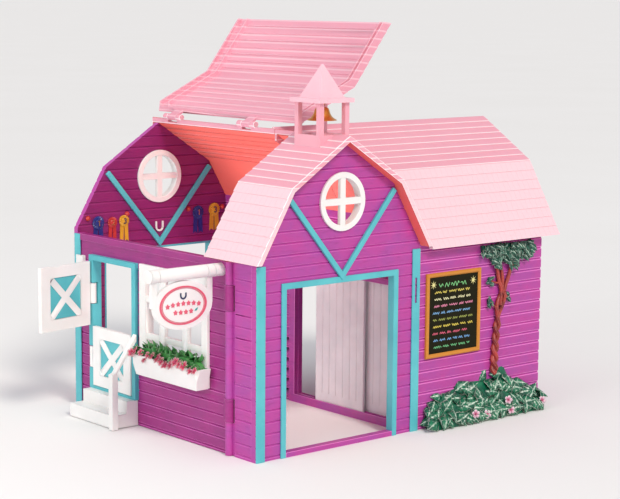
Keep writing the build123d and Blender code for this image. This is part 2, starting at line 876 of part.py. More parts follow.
def roof_flap():
    """Left slope that hinges at the ridge, with rims on both ends."""
    inner = inset(main_side, flap_thick)
    under = notches(inner[0], inner[1], notch_depth, notch_half)
    under += notches(inner[1], inner[2], notch_depth, notch_half)[1:]
    shape = along_y(mirrored(outer_edge(main_side) + under[::-1]), flap_start, roof_back)
    rim = mirrored(main_side + inset(main_side, flap_rim)[::-1])
    front_inner = flap_start + flap_rim_wide + flap_channel
    rear_inner = hall_depth - brace_proud - sliding_gap - flap_rim_wide
    for start in (flap_start, front_inner, rear_inner, roof_back - flap_rim_wide):
        shape += along_y(rim, start, start + flap_rim_wide)
    slope = atan2(ridge_z - knee_z, knee_half)
    edge_x = -flap_edge * cos(slope)
    shape &= block(-2 * eave_half, edge_x, 0, 2 * hall_depth, 0, 2 * ridge_z)
    reach = edge_x - flap_arm_reach
    reach_z = ridge_z + reach * sin(slope) / cos(slope)
    arm = [
        (flap_pivot_x, flap_pivot_z), (reach, reach_z), (reach, reach_z - flap_arm_thick),
        (flap_pivot_x, flap_pivot_z - flap_arm_thick),
    ]
    for low, high in flap_hinge_zones:
        y0 = low + flap_ear + sliding_gap
        y1 = high - flap_ear - sliding_gap
        shape += prism_y(flap_knuckle, knuckle_sides, y0, y1, flap_pivot_x, flap_pivot_z) + along_y(arm, y0, y1)
        shape -= rod_y(flap_pin_radius + running_gap, y0 - 1, y1 + 1, flap_pivot_x, flap_pivot_z)
    return shape.rotate(Axis((flap_pivot_x, 0, flap_pivot_z), (0, 1, 0)), flap_angle)


def wing_slope(direction):
    """One side of the wing roof, cut off at the valley against the main roof."""
    side = outer_edge(wing_side) + wing_under[::-1]
    points = [(wing_ridge_y + direction * u, v) for u, v in side]
    shape = along_x(points, 0, wing_end + wing_rake)
    right = outer_edge(main_side) + [(eave_half + course_lap, 0), (0, 0)]
    return shape - along_y(right, -50, hall_depth)


def cupola_frame():
    """Posts on a base ring that is saddled over the ridge."""
    half = cupola_half
    inner = half - cupola_post
    y = cupola_y
    base = ridge_z - cupola_skirt
    shape = block(-half, half, y - half, y + half, base, cupola_rail_top)
    for sx in (-1, 1):
        for sy in (-1, 1):
            x0, x1 = sorted((sx * inner, sx * half))
            y0, y1 = sorted((y + sy * inner, y + sy * half))
            shape += block(x0, x1, y0, y1, base, plate_low)
    shape -= block(-inner, inner, y - inner, y + inner, 0, plate_low)
    right = outer_edge(main_side) + [(eave_half, 0)]
    return shape - along_y(right + mirrored(right)[:-1], -hall_depth, hall_depth)


def cupola_cap():
    """Eave plate and spire, with two lugs that hold the bell's pin."""
    y = cupola_y
    half = plate_half
    top = plate_low + plate_thick
    shape = block(-half, half, y - half, y + half, plate_low, top)
    side = [(-spire_half, top), (spire_half, top), (spire_tip, spire_top), (-spire_tip, spire_top)]
    across = [(u + y, v) for u, v in side]
    shape += along_y(side, y - spire_half, y + spire_half) & along_x(across, -spire_half, spire_half)
    start = bell_eye / 2 + sliding_gap
    end = start + bell_lug
    for x0, x1 in ((-end, -start), (start, end)):
        lug = block(x0, x1, y - bell_lug_half, y + bell_lug_half, bell_pivot_z - bell_lug_half, plate_low)
        shape += lug - rod_x(bell_pin_radius, x0 - 1, x1 + 1, y, bell_pivot_z)
    return shape


def bell_pin():
    half = bell_eye / 2 + sliding_gap + bell_lug
    return rod_x(bell_pin_radius, -half, half, cupola_y, bell_pivot_z)


def frusta(profile):
    """Many-sided cones stacked on the cupola's centre line."""
    shape = None
    for (low_radius, low), (high_radius, high) in zip(profile, profile[1:]):
        rings = [
            Pos(0, cupola_y, low) * RegularPolygon(low_radius, bell_sides),
            Pos(0, cupola_y, high) * RegularPolygon(high_radius, bell_sides),
        ]
        cone = loft(rings, ruled=True)
        shape = cone if shape is None else shape + cone
    return shape


def bell():
    """Flared bell, open below, with an eye on its crown."""
    top = bell_pivot_z - bell_drop
    low = top - bell_high
    outside = [(wide * bell_radius, low + high * bell_high) for wide, high in bell_profile]
    inside = [(radius - bell_skin, min(z, top - bell_skin - bell_lug)) for radius, z in outside[:-1]]
    shape = frusta(outside) - frusta(inside)
    half = bell_eye / 2
    radius = bell_eye_radius
    eye = rod_x(radius, -half, half, cupola_y, bell_pivot_z)
    eye += block(-half, half, cupola_y - radius, cupola_y + radius, top - bell_skin, bell_pivot_z)
    return shape + eye - rod_x(bell_pin_radius + running_gap, -half - 1, half + 1, cupola_y, bell_pivot_z)


def chalkboard_frame():
    shape = block(board_left, board_right, -board_frame_thick, 0, board_bottom, board_top)
    inner = board_frame
    return shape - block(
        board_left + inner, board_right - inner, -9, 9, board_bottom + inner, board_top - inner
    )


def chalkboard_panel():
    inner = board_frame
    return block(
        board_left + inner, board_right - inner, -board_panel_thick, 0,
        board_bottom + inner, board_top - inner,
    )


def strip(points, widths, y0, y1):
    """Tapered strip along a run of points on the wing wall."""
    left = []
    right = []
    for k, ((u, v), wide) in enumerate(zip(points, widths)):
        before = points[max(k - 1, 0)]
        after = points[min(k + 1, len(points) - 1)]
        angle = atan2(after[1] - before[1], after[0] - before[0])
        left.append((tree_x + u - sin(angle) * wide / 2, v + cos(angle) * wide / 2))
        right.append((tree_x + u + sin(angle) * wide / 2, v - cos(angle) * wide / 2))
    return along_y(left + right[::-1], y0, y1)


def tree_trunk():
    """Climbing trunk on the wing wall, forked below the leaves."""
    shape = strip(trunk_stem, stem_widths, -trunk_thick, 0)
    shape += strip(trunk_left, branch_widths, -trunk_thick, 0)
    shape += strip(trunk_right, branch_widths, -trunk_thick, 0)
    return shape - shrub_bed()


def tree_foliage():
    """Leafy crown with side sprays, in low relief."""
    crown = [(tree_x + u, v) for u, v in crown_outline]
    pieces = [along_y(crown, -foliage_thick, 0)]
    for u, v in spray_places:
        spray = Plane(origin=(tree_x + u, 0, v), x_dir=(1, 0, 0), z_dir=(0, -1, 0)) * RegularPolygon(spray_radius, 8)
        pieces.append(extrude(spray, amount=foliage_thick, dir=(0, -1, 0)))
    trunk = tree_trunk()
    return [piece - trunk for piece in pieces]


def shrub_bed():
    """Sloping bank of shrubs along the foot of the wing wall."""
    section = [(-reach, high) for reach, high in bed_section]
    front = [(bed_left + share * (bed_right - bed_left), high) for share, high in bed_outline]
    return along_x(section, bed_left, bed_right) & along_y(front, -bed_reach, 0)


def rosette(x, z, radius, y):
    """Scalloped head over two notched ribbon tails."""
    count = 2 * rosette_scallops
    rim = []
    for k in range(count):
        reach = radius * (1 if k % 2 else rosette_notch)
        rim.append((x + reach * cos(2 * pi * k / count), z + reach * sin(2 * pi * k / count)))
    low = z - radius - rosette_tail
    top = radius * 0.6
    tip = radius * 0.7
    slit = top / 2
    tails = [
        (x - top, z), (x - tip, low), (x - slit, low + slit), (x, low), (x + slit, low + slit), (x + tip, low),
        (x + top, z),
    ]
    return along_y(rim, y - rosette_thick, y) + along_y(tails, y - rosette_thick / 2, y)


def rosettes(colour):
    solids = [rosette(x, z, radius, hall_depth) for x, z, radius in rosette_places[colour]]
    return Compound(children=solids)


def horseshoe():
    """Raised shoe, open end up."""
    outer = []
    inner = []
    for k in range(shoe_steps + 1):
        angle = -pi * k / shoe_steps
        outer.append((shoe_outer * cos(angle), shoe_z + shoe_outer * sin(angle)))
        inner.append((shoe_inner * cos(angle), shoe_z + shoe_inner * sin(angle)))
    top = shoe_z + shoe_arm
    points = [(shoe_outer, top)] + outer + [(-shoe_outer, top), (-shoe_inner, top)] + inner[::-1] + [(shoe_inner, top)]
    return along_y(points, hall_depth - shoe_thick, hall_depth)


def threshold(y0, y1):
    return block(-door_half, door_half, y0, y1, 0, threshold_high)


def save(name, shape):
    if isinstance(shape, list):
        shape = Compound(children=shape)
    export_step(shape, f"parts/{name}.step")


def build():
    save("front_gable_wall", gable(0, wall, 1, 0))
    save("front_door_frame", door_frame(0, frame_depth - frame_proud, -1))
    save("front_threshold", threshold(-threshold_proud, frame_depth - frame_proud))
    save("front_corner_trims", front_corner_trims())
    save("front_v_brace", v_brace(-brace_proud, 0, door_top + door_band))
    save("front_round_window", round_window(0, -1))
    save("rear_gable_wall", rear_gable_wall())
    save("rear_door_frame", door_frame(flange_y, hall_depth, 1))
    save("rear_threshold", threshold(hall_depth, flange_y))
    save("rear_corner_trims", rear_corner_trims())
    save("rear_v_brace", v_brace(hall_depth - brace_proud, hall_depth, brace_foot_z))
    save("rear_round_window", round_window(hall_depth, -1))
    save("side_wall_post", side_wall_post())
    save("side_wall_hinge_rod", side_wall_hinge_rod())
    save("side_wall_panel", side_wall_panel())
    save("side_wall_latch", side_wall_latch())
    save("dutch_door_frame", dutch_door_frame())
    save("dutch_hinge_pins", dutch_hinge_pins())
    save("upper_leaf", opened(leaf_frame(upper_leaf_low, upper_leaf_high, leaf_knuckle_zones[1])))
    save("upper_leaf_infill", opened(leaf_infill(upper_leaf_low, upper_leaf_high)))
    save("lower_leaf", leaf_frame(lower_leaf_low, lower_leaf_high, leaf_knuckle_zones[0]))
    save("lower_leaf_infill", leaf_infill(lower_leaf_low, lower_leaf_high))
    save("side_window_frame", side_window_frame())
    save("flower_box", flower_box())
    save("flower_foliage", flower_foliage())
    save("entry_steps", entry_steps())
    save("sign_bar", sign_bar())
    save("sign_board", sign_board())
    save("partition_wall", partition_wall())
    save("sliding_door_front", sliding_door(0))
    save("sliding_door_rear", sliding_door(1))
    save("wing_front_wall", wing_front_wall())
    save("wing_end_wall", wing_end_wall())
    save("wing_roof_front", wing_slope(-1))
    save("wing_roof_rear", wing_slope(1))
    save("front_roof", front_roof())
    save("rear_roof", rear_roof())
    save("roof_flap", roof_flap())
    save("flap_hinge_pins", flap_hinge_pins())
    save("cupola_frame", cupola_frame())
    save("cupola_cap", cupola_cap())
    save("bell", bell())
    save("bell_pin", bell_pin())
    save("chalkboard_frame", chalkboard_frame())
    save("chalkboard_panel", chalkboard_panel())
    save("tree_trunk", tree_trunk())
    save("tree_foliage", tree_foliage())
    save("shrub_bed", shrub_bed())
    for colour in rosette_places:
        save(f"rosettes_{colour}", rosettes(colour))
    save("horseshoe", horseshoe())


build()
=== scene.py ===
import json
import math
import random
from functools import partial
from types import SimpleNamespace

import bmesh
import bpy
from mathutils import Matrix, Vector

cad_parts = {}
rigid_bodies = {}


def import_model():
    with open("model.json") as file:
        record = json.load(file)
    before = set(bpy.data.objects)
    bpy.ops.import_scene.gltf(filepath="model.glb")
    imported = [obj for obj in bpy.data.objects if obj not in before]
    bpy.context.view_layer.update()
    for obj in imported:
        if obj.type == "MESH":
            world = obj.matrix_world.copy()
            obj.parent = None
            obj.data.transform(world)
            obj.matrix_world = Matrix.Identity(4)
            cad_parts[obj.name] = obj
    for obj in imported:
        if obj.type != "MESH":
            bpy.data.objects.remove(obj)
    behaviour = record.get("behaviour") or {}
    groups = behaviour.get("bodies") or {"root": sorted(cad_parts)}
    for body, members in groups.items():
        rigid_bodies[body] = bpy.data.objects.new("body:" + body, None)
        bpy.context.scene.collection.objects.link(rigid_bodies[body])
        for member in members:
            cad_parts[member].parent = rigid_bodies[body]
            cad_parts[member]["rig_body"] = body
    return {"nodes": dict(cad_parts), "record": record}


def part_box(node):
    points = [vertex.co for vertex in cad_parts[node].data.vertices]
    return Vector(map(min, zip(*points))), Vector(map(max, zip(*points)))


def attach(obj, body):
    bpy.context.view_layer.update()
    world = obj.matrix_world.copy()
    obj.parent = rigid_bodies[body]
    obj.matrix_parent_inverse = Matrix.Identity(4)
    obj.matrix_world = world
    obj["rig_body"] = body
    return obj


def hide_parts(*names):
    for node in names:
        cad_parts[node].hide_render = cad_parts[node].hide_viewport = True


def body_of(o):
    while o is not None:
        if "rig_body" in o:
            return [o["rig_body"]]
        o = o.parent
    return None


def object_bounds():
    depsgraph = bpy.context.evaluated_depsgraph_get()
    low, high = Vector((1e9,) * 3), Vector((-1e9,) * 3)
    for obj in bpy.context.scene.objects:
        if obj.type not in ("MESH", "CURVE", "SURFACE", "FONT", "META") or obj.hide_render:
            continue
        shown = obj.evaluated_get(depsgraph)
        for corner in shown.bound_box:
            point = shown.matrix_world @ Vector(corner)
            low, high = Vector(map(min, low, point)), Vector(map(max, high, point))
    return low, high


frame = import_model()
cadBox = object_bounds()
print("frame loaded:", len(frame["nodes"]), "nodes")


def mm(*values):  # millimetres to metres, of one value or of a point
    metres = [value / 1000 for value in values]
    return metres if len(metres) > 1 else metres[0]


def named(values):  # a dictionary's values, to be read by name
    return SimpleNamespace(**values)


def linearColour(hexCode):  # sRGB hex to the linear colour that shaders take
    parts = [int(hexCode[i:i + 2], 16) / 255 for i in (1, 3, 5)]
    return tuple(p / 12.92 if p <= 0.04045 else ((p + 0.055) / 1.055) ** 2.4 for p in parts) + (1.0,)


def addNode(tree, family, kind, inputs=None, **settings):  # one node with its settings, values and links
    node = tree.nodes.new(family + kind)
    for name, value in settings.items():
        setattr(node, name, value)
    for key, value in (inputs or {}).items():
        if isinstance(value, bpy.types.Node):  # a node stands for its first socket in use
            value = next(socket for socket in value.outputs if socket.enabled)
        if isinstance(value, bpy.types.NodeSocket):
            tree.links.new(value, node.inputs[key])
        elif isinstance(value, str) and value.startswith("#"):
            node.inputs[key].default_value = linearColour(value)
        else:
            node.inputs[key].default_value = value
    return node


def addPiece(name, bm, finish, body, slotName, *replaced, smooth=False):
    piece = meshObject(name, bm, finish, smooth)
    placePiece(piece, body, slotName, *replaced)
    return piece


def newMaterial(name, surface, *details):  # surface adds the nodes and gives back the shader
    material = bpy.data.materials.new(name)
    material.use_nodes = True
    material.node_tree.nodes.clear()
    add = partial(addNode, material.node_tree, "ShaderNode")
    add("OutputMaterial", {"Surface": surface(add, *details)})
    return material


def meshFrom(name, bm, closed=True):
    if closed:
        bmesh.ops.recalc_face_normals(bm, faces=bm.faces)
    mesh = bpy.data.meshes.new(name)
    bm.to_mesh(mesh)
    bm.free()
    return mesh


def linkedObject(name, data):
    obj = bpy.data.objects.new(name, data)
    bpy.context.scene.collection.objects.link(obj)
    return obj


def meshObject(name, bm, finish, smooth=False):
    mesh = meshFrom(name, bm)
    mesh.materials.append(finish)
    if smooth:
        mesh.shade_smooth()
    return linkedObject(name, mesh)


def placePiece(obj, body, slotName, *replaced):
    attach(obj, body)
    if replaced:
        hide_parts(*replaced)


absIor = 1.54
paintIor = 1.5


# two shades in soft patches, and their noise
def clouded(add, coords, sizeMm, roughness, spread, colour, shade):
    noise = add("TexNoise", {
        "Vector": coords, "Scale": 1 / mm(sizeMm), "Detail": 3, "Roughness": roughness})
    amount = add("MapRange", {"Value": noise, "From Min": 0.5 - spread, "From Max": 0.5 + spread})
    return noise, add("Mix", {"Factor": amount, "A": colour, "B": shade}, data_type="RGBA")


def skin(add, colour, roughness, ior, height, depthMm, values, **more):  # shader with a fine relief
    inputs = {
        "Base Color": colour, "Roughness": roughness, "IOR": ior,
        "Normal": add("Bump", {"Height": height, "Distance": mm(depthMm)}), **more}
    if "glow" in values:  # light soaks a little way into thin pale walls, red furthest
        inputs.update({"Subsurface Weight": values["glow"], "Subsurface Radius": (1.0, 0.35, 0.3),
                       "Subsurface Scale": mm(values["glowMm"])})
    return add("BsdfPrincipled", inputs)


# injection-moulded ABS: satin skin, faint flow clouds and a spark-eroded fine grain
def mouldedAbs(add, colour, shade, values):
    v = named(values)
    coords = add("TexCoord").outputs["Object"]
    clouds, tint = clouded(add, coords, v.cloudMm, 0.55, 0.15, colour, shade)
    grain = add("TexNoise", {"Vector": coords, "Scale": 1 / mm(v.grainMm), "Detail": 2, "Roughness": 0.6})
    gloss = add("MapRange", {
        "Value": clouds, "From Min": 0.3, "From Max": 0.7, "To Min": v.roughness - 0.04,
        "To Max": v.roughness + 0.05})
    return skin(add, tint, gloss, absIor, grain, v.grainDepthMm, values)


trimAbs = dict(cloudMm=26, grainMm=0.5, grainDepthMm=0.02, roughness=0.4)
glossAbs = dict(cloudMm=30, grainMm=0.5, grainDepthMm=0.02, roughness=0.38, glow=0.1, glowMm=1.5)
leafAbs = dict(cloudMm=18, grainMm=0.8, grainDepthMm=0.04, roughness=0.5, glow=0.1, glowMm=1.5)
shellAbs = dict(cloudMm=40, grainMm=0.6, grainDepthMm=0.03, roughness=0.45, glow=0.1, glowMm=2)


# siding ABS: planks pressed with a lengthwise wood grain, in two shades that swirl as the melt cooled
def sidingAbs(add, colour, shade, deep, rim=None):
    v = named(sidingValues)
    place = add("TexCoord").outputs
    body = clouded(add, place["Object"], v.blotchMm, 0.6, 0.12, colour, shade)[1]
    stretched = add("Mapping", {"Vector": place["Object"], "Scale": (1, 1, v.stretch)})
    grain = add("TexNoise", {
        "Vector": stretched, "Scale": 1 / mm(v.grainMm), "Detail": 4, "Distortion": 0.6})
    streaks = add("MapRange", {"Value": grain, "From Min": 0.55, "From Max": 0.72, "To Max": v.streak})
    tint = add("Mix", {"Factor": streaks, "A": body, "B": deep}, data_type="RGBA")
    # painted light: the cut edges of a shaded panel are painted brighter than its faces, as lit edges
    if rim:  # the panel's cut edges are brighter than its faces
        turned = add("SeparateXYZ", {"Vector": place["Normal"]})
        facing = add("Math", {0: turned.outputs["Y"]}, operation="ABSOLUTE")
        edge = add("MapRange", {"Value": facing, "From Min": 0.5, "From Max": 0.2})
        tint = add("Mix", {"Factor": edge, "A": tint, "B": rim}, data_type="RGBA")
    return skin(add, tint, v.roughness, absIor, grain, v.grainDepthMm, sidingValues)


sidingValues = dict(blotchMm=18, grainMm=11, stretch=8, streak=0.4, grainDepthMm=0.35, roughness=0.42)


# roof shell: the same ABS with small shingles pressed into its top, and a deeper coral painted on its inside:
# painted light, for the light that comes through the thin shell. The ridge tells its inside from its top.
def roofShell(add, colours, ridge, alongAxis):
    v = named(roofValues)
    acrossAxis = 1 - alongAxis
    coords = add("TexCoord").outputs
    back = Matrix.Rotation(math.radians(-ridge.get("opened", 0)), 3, "Y")
    hingeX, hingeZ = ridge.get("hinge", (0, 0))
    hinge = Vector(mm(hingeX, 0, hingeZ))
    shut = add("Mapping", {
        "Vector": coords["Object"], "Location": hinge - back @ hinge, "Rotation": back.to_euler()})
    place = add("SeparateXYZ", {"Vector": shut}).outputs
    normal = add("SeparateXYZ", {"Vector": coords["Normal"]}).outputs
    offset = add("Math", {0: place[acrossAxis], 1: mm(ridge["place"])}, operation="SUBTRACT")
    side = add("Math", {0: offset}, operation="SIGN")
    outward = add("Math", {0: side, 1: normal[acrossAxis]}, operation="MULTIPLY")
    inside = add("MapRange", {"Value": outward, "From Min": -0.12, "From Max": -0.3})
    # rows of shingles: the height counts the courses, at another rate below the knee
    above = add("Math", {0: place[2], 1: mm(ridge["knee"])}, operation="SUBTRACT")
    steep = add("Math", {0: above, 1: 0.0}, operation="MINIMUM")
    flat = add("Math", {0: above, 1: 0.0}, operation="MAXIMUM")
    steepRows = add("Math", {
        0: steep, 1: v.courses / mm(ridge["knee"] - ridge["eave"])}, operation="MULTIPLY")
    rows = add("Math", {0: flat, 1: v.courses / mm(ridge["top"] - ridge["knee"]), 2: steepRows},
               operation="MULTIPLY_ADD")
    columns = add("Math", {0: place[alongAxis], 1: 1 / mm(v.shingleMm)}, operation="MULTIPLY")
    wander = add("TexNoise", {"Vector": coords["Object"], "Scale": 1 / mm(v.wanderMm), "Detail": 2})
    bent = add("Math", {0: wander, 1: v.wander, 2: columns}, operation="MULTIPLY_ADD")
    grid = add("CombineXYZ", {"X": bent, "Y": rows})
    shingles = add("TexBrick", {
        "Vector": grid, "Scale": 1, "Mortar Size": v.joint, "Mortar Smooth": 0.6, "Bias": 0,
        "Brick Width": 1, "Row Height": 1}).outputs["Fac"]
    clouds = add("TexNoise", {"Vector": coords["Object"], "Scale": 1 / mm(v.cloudMm), "Detail": 3})
    top = add("Mix", {"Factor": clouds, "A": colours["top"], "B": colours["shade"]}, data_type="RGBA")
    # painted light: below the knee the lower slopes are painted the paler steep colour, for the sky they face
    below = add("MapRange", {
        "Value": above, "From Min": mm(0.5), "From Max": mm(-0.5), "To Max": 1 if colours["inside"] else 0})
    slopes = add("Mix", {"Factor": below, "A": top, "B": colours["steep"]}, data_type="RGBA")
    jointed = add("Math", {0: shingles, 1: v.jointTint}, operation="MULTIPLY")
    tinted = add("Math", {0: jointed, 1: below}, operation="MULTIPLY")
    ticked = add("Mix", {"Factor": tinted, "A": slopes, "B": colours["joint"]}, data_type="RGBA")
    # painted highlight: the lip of each course on the upper slopes is painted pale, as light catching it
    step = add("Math", {0: rows}, operation="FRACT")
    lip = add("MapRange", {"Value": step, "From Min": v.lip, "From Max": v.lip * 0.6, "To Max": v.lipTint})
    upper = add("Math", {0: 1, 1: below}, operation="SUBTRACT", use_clamp=True)
    painted_highlight = add("Math", {0: lip, 1: upper}, operation="MULTIPLY")
    body = add("Mix", {"Factor": painted_highlight, "A": ticked, "B": colours["rim"]}, data_type="RGBA")
    # painted light: the inside faces are painted the deeper coral of light coming through the shell
    if colours["inside"]:
        body = add("Mix", {"Factor": inside, "A": body, "B": colours["inside"]}, data_type="RGBA")
    groove = add("Math", {0: 1, 1: shingles}, operation="SUBTRACT")
    return skin(add, body, v.roughness, absIor, groove, v.jointDepthMm, roofValues)


roofValues = dict(
    courses=8, shingleMm=5, wander=0.35, wanderMm=3, joint=0.05, jointTint=0.25, jointDepthMm=0.09,
    lip=0.24, lipTint=0.85, cloudMm=40, roughness=0.45, glow=0.08, glowMm=2)
# steep: painted light, paler on the lower slopes; rim: painted highlight on the course lips; inside: painted
# coral light come through the shell
roofColours = dict(
    top="#EBA8B7", shade="#E79DAF", steep="#F3CAD2", joint="#E6A3B2", rim="#FDEBED", inside="#FF7468")
flapColours = {**roofColours, "top": "#E8A3B4", "shade": "#E498AB", "steep": "#E8A3B4", "rim": "#F3C2CD",
               "inside": None}
# painted highlight colours for the roofs' rounded edges, their inside edges painted with coral light
paintedHighlightColours = dict(
    top="#FFF2F3", shade="#FEE9EC", steep="#FFF2F3", joint="#FFF2F3", rim="#FFF2F3", inside="#D4524B")
hallRidge = dict(place=0, top=203.2, knee=172.2, eave=126.2)
wingRidge = dict(place=70.2, top=204.2, knee=174.8, eave=124)
flapRidge = dict(hallRidge, opened=186.9, hinge=(0.8, 204.4))  # drawn shut, then turned open about its hinge


# painted plastic relief: a base coat with a paler dry-brushed coat caught on its ridges
def dryBrushed(add, base, dark, brushed, values):
    v = named(values)
    coords = add("TexCoord").outputs["Object"]
    coat = clouded(add, coords, v.patchMm, 0.6, 0.15, base, dark)[1]
    strokes = add("TexNoise", {
        "Vector": coords, "Scale": 1 / mm(v.strokeMm), "Detail": 4, "Roughness": 0.7})
    ridge, across, along = (add("Attribute", attribute_name=name).outputs["Fac"]
                            for name in ("ridge", "across", "along"))
    # side veins slant back from the middle one; a mesh without the attributes gets none
    slant = add("Math", {0: across, 1: -0.8, 2: along}, operation="MULTIPLY_ADD")
    count = add("Math", {0: slant, 1: v.veins, 2: 0.5}, operation="MULTIPLY_ADD")
    wave = add("Math", {0: count, 1: 0.5}, operation="PINGPONG")
    vein = add("MapRange", {"Value": wave, "From Min": 0.11, "From Max": 0.03, "To Max": v.veinMost})
    raised = add("Math", {0: ridge, 1: vein}, operation="MAXIMUM")
    lift = add("Math", {0: raised, 1: strokes}, operation="MULTIPLY")
    low, high, most = v.brushed  # where the pale coat starts, where it is full, and how full
    amount = add("MapRange", {"Value": lift, "From Min": low, "From Max": high, "To Max": most})
    colour = add("Mix", {"Factor": amount, "A": coat, "B": brushed}, data_type="RGBA")
    return skin(add, colour, v.roughness, paintIor, strokes, v.strokeDepthMm, values)


leafPaint = dict(patchMm=5, strokeMm=2, strokeDepthMm=0.12, brushed=(0.27, 0.45, 0.85), roughness=0.36,
                 veins=0, veinMost=0)
shrubPaint = dict(leafPaint, strokeMm=1.6, brushed=(0.28, 0.47, 0.9), roughness=0.32, veins=2.6, veinMost=0.7)
boxPaint = dict(leafPaint, patchMm=4, strokeMm=1.6, brushed=(0.34, 0.55, 0.7), roughness=0.3)
barkPaint = dict(leafPaint, patchMm=7, strokeMm=1.2, brushed=(0.3, 0.6, 0.55), roughness=0.42)
petalPaint = dict(leafPaint, patchMm=4, strokeMm=0.8, brushed=(0.14, 0.4, 0.95), roughness=0.45)


# metallic paint: fine flakes in lacquer, softly mirrored
def metallicPaint(add, colour, roughness, flakeMm=0.6):
    coords = add("TexCoord").outputs["Object"]
    flakes = add("TexNoise", {"Vector": coords, "Scale": 1 / mm(flakeMm), "Detail": 2})
    shine = add("MapRange", {"Value": flakes, "To Min": roughness - 0.08, "To Max": roughness + 0.08})
    return add("BsdfPrincipled", {"Base Color": colour, "Metallic": 1, "Roughness": shine})


# printed vinyl or brushed-on enamel: slight mottling, matt to satin
def printedFinish(add, colour, mottle, roughness, mottleMm=4, shine=0.5, depthMm=0.04):
    coords = add("TexCoord").outputs["Object"]
    noise = add("TexNoise", {"Vector": coords, "Scale": 1 / mm(mottleMm), "Detail": 4, "Roughness": 0.6})
    tint = add("Mix", {"Factor": noise, "A": colour, "B": mottle}, data_type="RGBA")
    return skin(add, tint, roughness, paintIor, noise, depthMm, {}, **{"Specular IOR Level": shine})


def newMaterials(surface, *rows):
    return [newMaterial(name, surface, *details) for name, *details in rows]


# painted shade: the rear gable and the side wall are the same orchid siding, painted darker and redder for
# the shade they stand in; the rear gable gets a brighter painted light on its edges, and its edge highlight
# below is painted darker to match
orchidAbs, shadedRearGable, shadedSidePanelAbs = newMaterials(
    sidingAbs,
    ("orchid siding ABS", "#B83B96", "#AA409B", "#8E2A78"),
    ("orchid siding ABS of the rear gable", "#8A1C64", "#801C60", "#661248", "#B4409C"),
    ("orchid siding ABS of the side wall", "#A0247C", "#952579", "#7A165E"))
# the edge finishes are painted highlights: paler colours put on the rounded corners, where they would catch
# the light
orchidEdge, rearEdge, tealAbs, whiteAbs, doorAbs, pinkAbs, palePink, pinkEdge, flapEdge = newMaterials(
    mouldedAbs,
    ("orchid ABS, rubbed edge", "#E27CC6", "#D96FBE", trimAbs),
    ("orchid ABS of the rear gable, rubbed edge", "#A8327F", "#9C2C76", trimAbs),
    ("teal moulded ABS", "#5BBFC6", "#4FB2BC", trimAbs),
    ("white moulded ABS", "#F1EFED", "#E9E7E4", glossAbs),
    ("grey-white moulded ABS", "#EAE2E4", "#DFD7DA", leafAbs),
    ("pink moulded ABS", "#EDADBA", "#E9A2B1", shellAbs),
    ("pale pink moulded ABS", "#F4C6D0", "#F1BCC8", shellAbs),
    ("pink ABS, rubbed edge", "#FFF2F3", "#FEE9EC", shellAbs),
    ("pink ABS of the flap, rubbed edge", "#F9D3DB", "#F6C9D3", shellAbs))
hallRoof, wingRoof, flapShell, hallEdge, wingEdge = newMaterials(
    roofShell,
    ("pink shingle ABS of the hall roof", roofColours, hallRidge, 1),
    ("pink shingle ABS of the wing roof", roofColours, wingRidge, 0),
    ("pink shingle ABS of the flap", flapColours, flapRidge, 1),
    # painted highlights for the roofs' rounded edges
    ("pink ABS of the hall roof, rubbed edge", paintedHighlightColours, hallRidge, 1),
    ("pink ABS of the wing roof, rubbed edge", paintedHighlightColours, wingRidge, 0))
leafGreen, shrubGreen, boxGreen, barkRed, blossomPink, blossomPale = newMaterials(
    dryBrushed,
    ("dry-brushed leaf green paint", "#20604D", "#0F3A31", "#CBDFCB", leafPaint),
    ("dry-brushed shrub green paint", "#0C734E", "#064A38", "#E2F2E0", shrubPaint),
    ("satin green leaf paint", "#4A9A4C", "#2C763A", "#CFE8BE", boxPaint),
    ("dry-brushed brick bark paint", "#AE3831", "#6E1C1E", "#E08A78", barkPaint),
    ("pink petal paint", "#DE4564", "#CE355A", "#F9C0C6", petalPaint),
    ("pale pink petal paint", "#DC8FB0", "#E7A9C3", "#FDF3F6", petalPaint))
goldPaint, numeralGold = newMaterials(
    metallicPaint, ("gold metallic paint", "#E2A24C", 0.32), ("gold numeral paint", "#E9C27A", 0.3))
(ochrePaint, slateBoard, stamenRose, ribbonBlue, ribbonRed, ribbonYellow, numeralNavy, ringPrint, navyPrint,
 tealPrint) = newMaterials(
    printedFinish,
    ("ochre painted frame", "#D38A2C", "#C07A22", 0.45),
    ("matt slate-coloured board", "#22200F", "#18170B", 0.85, 9, 0.15),
    ("deep rose stamen paint", "#A5305C", "#C4506F", 0.5),
    ("blue rosette enamel", "#24348C", "#182562", 0.32),
    ("red rosette enamel", "#CF3B34", "#A92A2A", 0.32),
    ("yellow rosette enamel", "#E3AC2E", "#C68E1E", 0.32),
    ("navy numeral paint", "#1C2A5E", "#141E46", 0.35),
    ("coral-pink printed ring", "#E2647A", "#D8566E", 0.4),
    ("navy print", "#27305C", "#1D2548", 0.4),
    ("teal print", "#3FA9A4", "#34948F", 0.4))

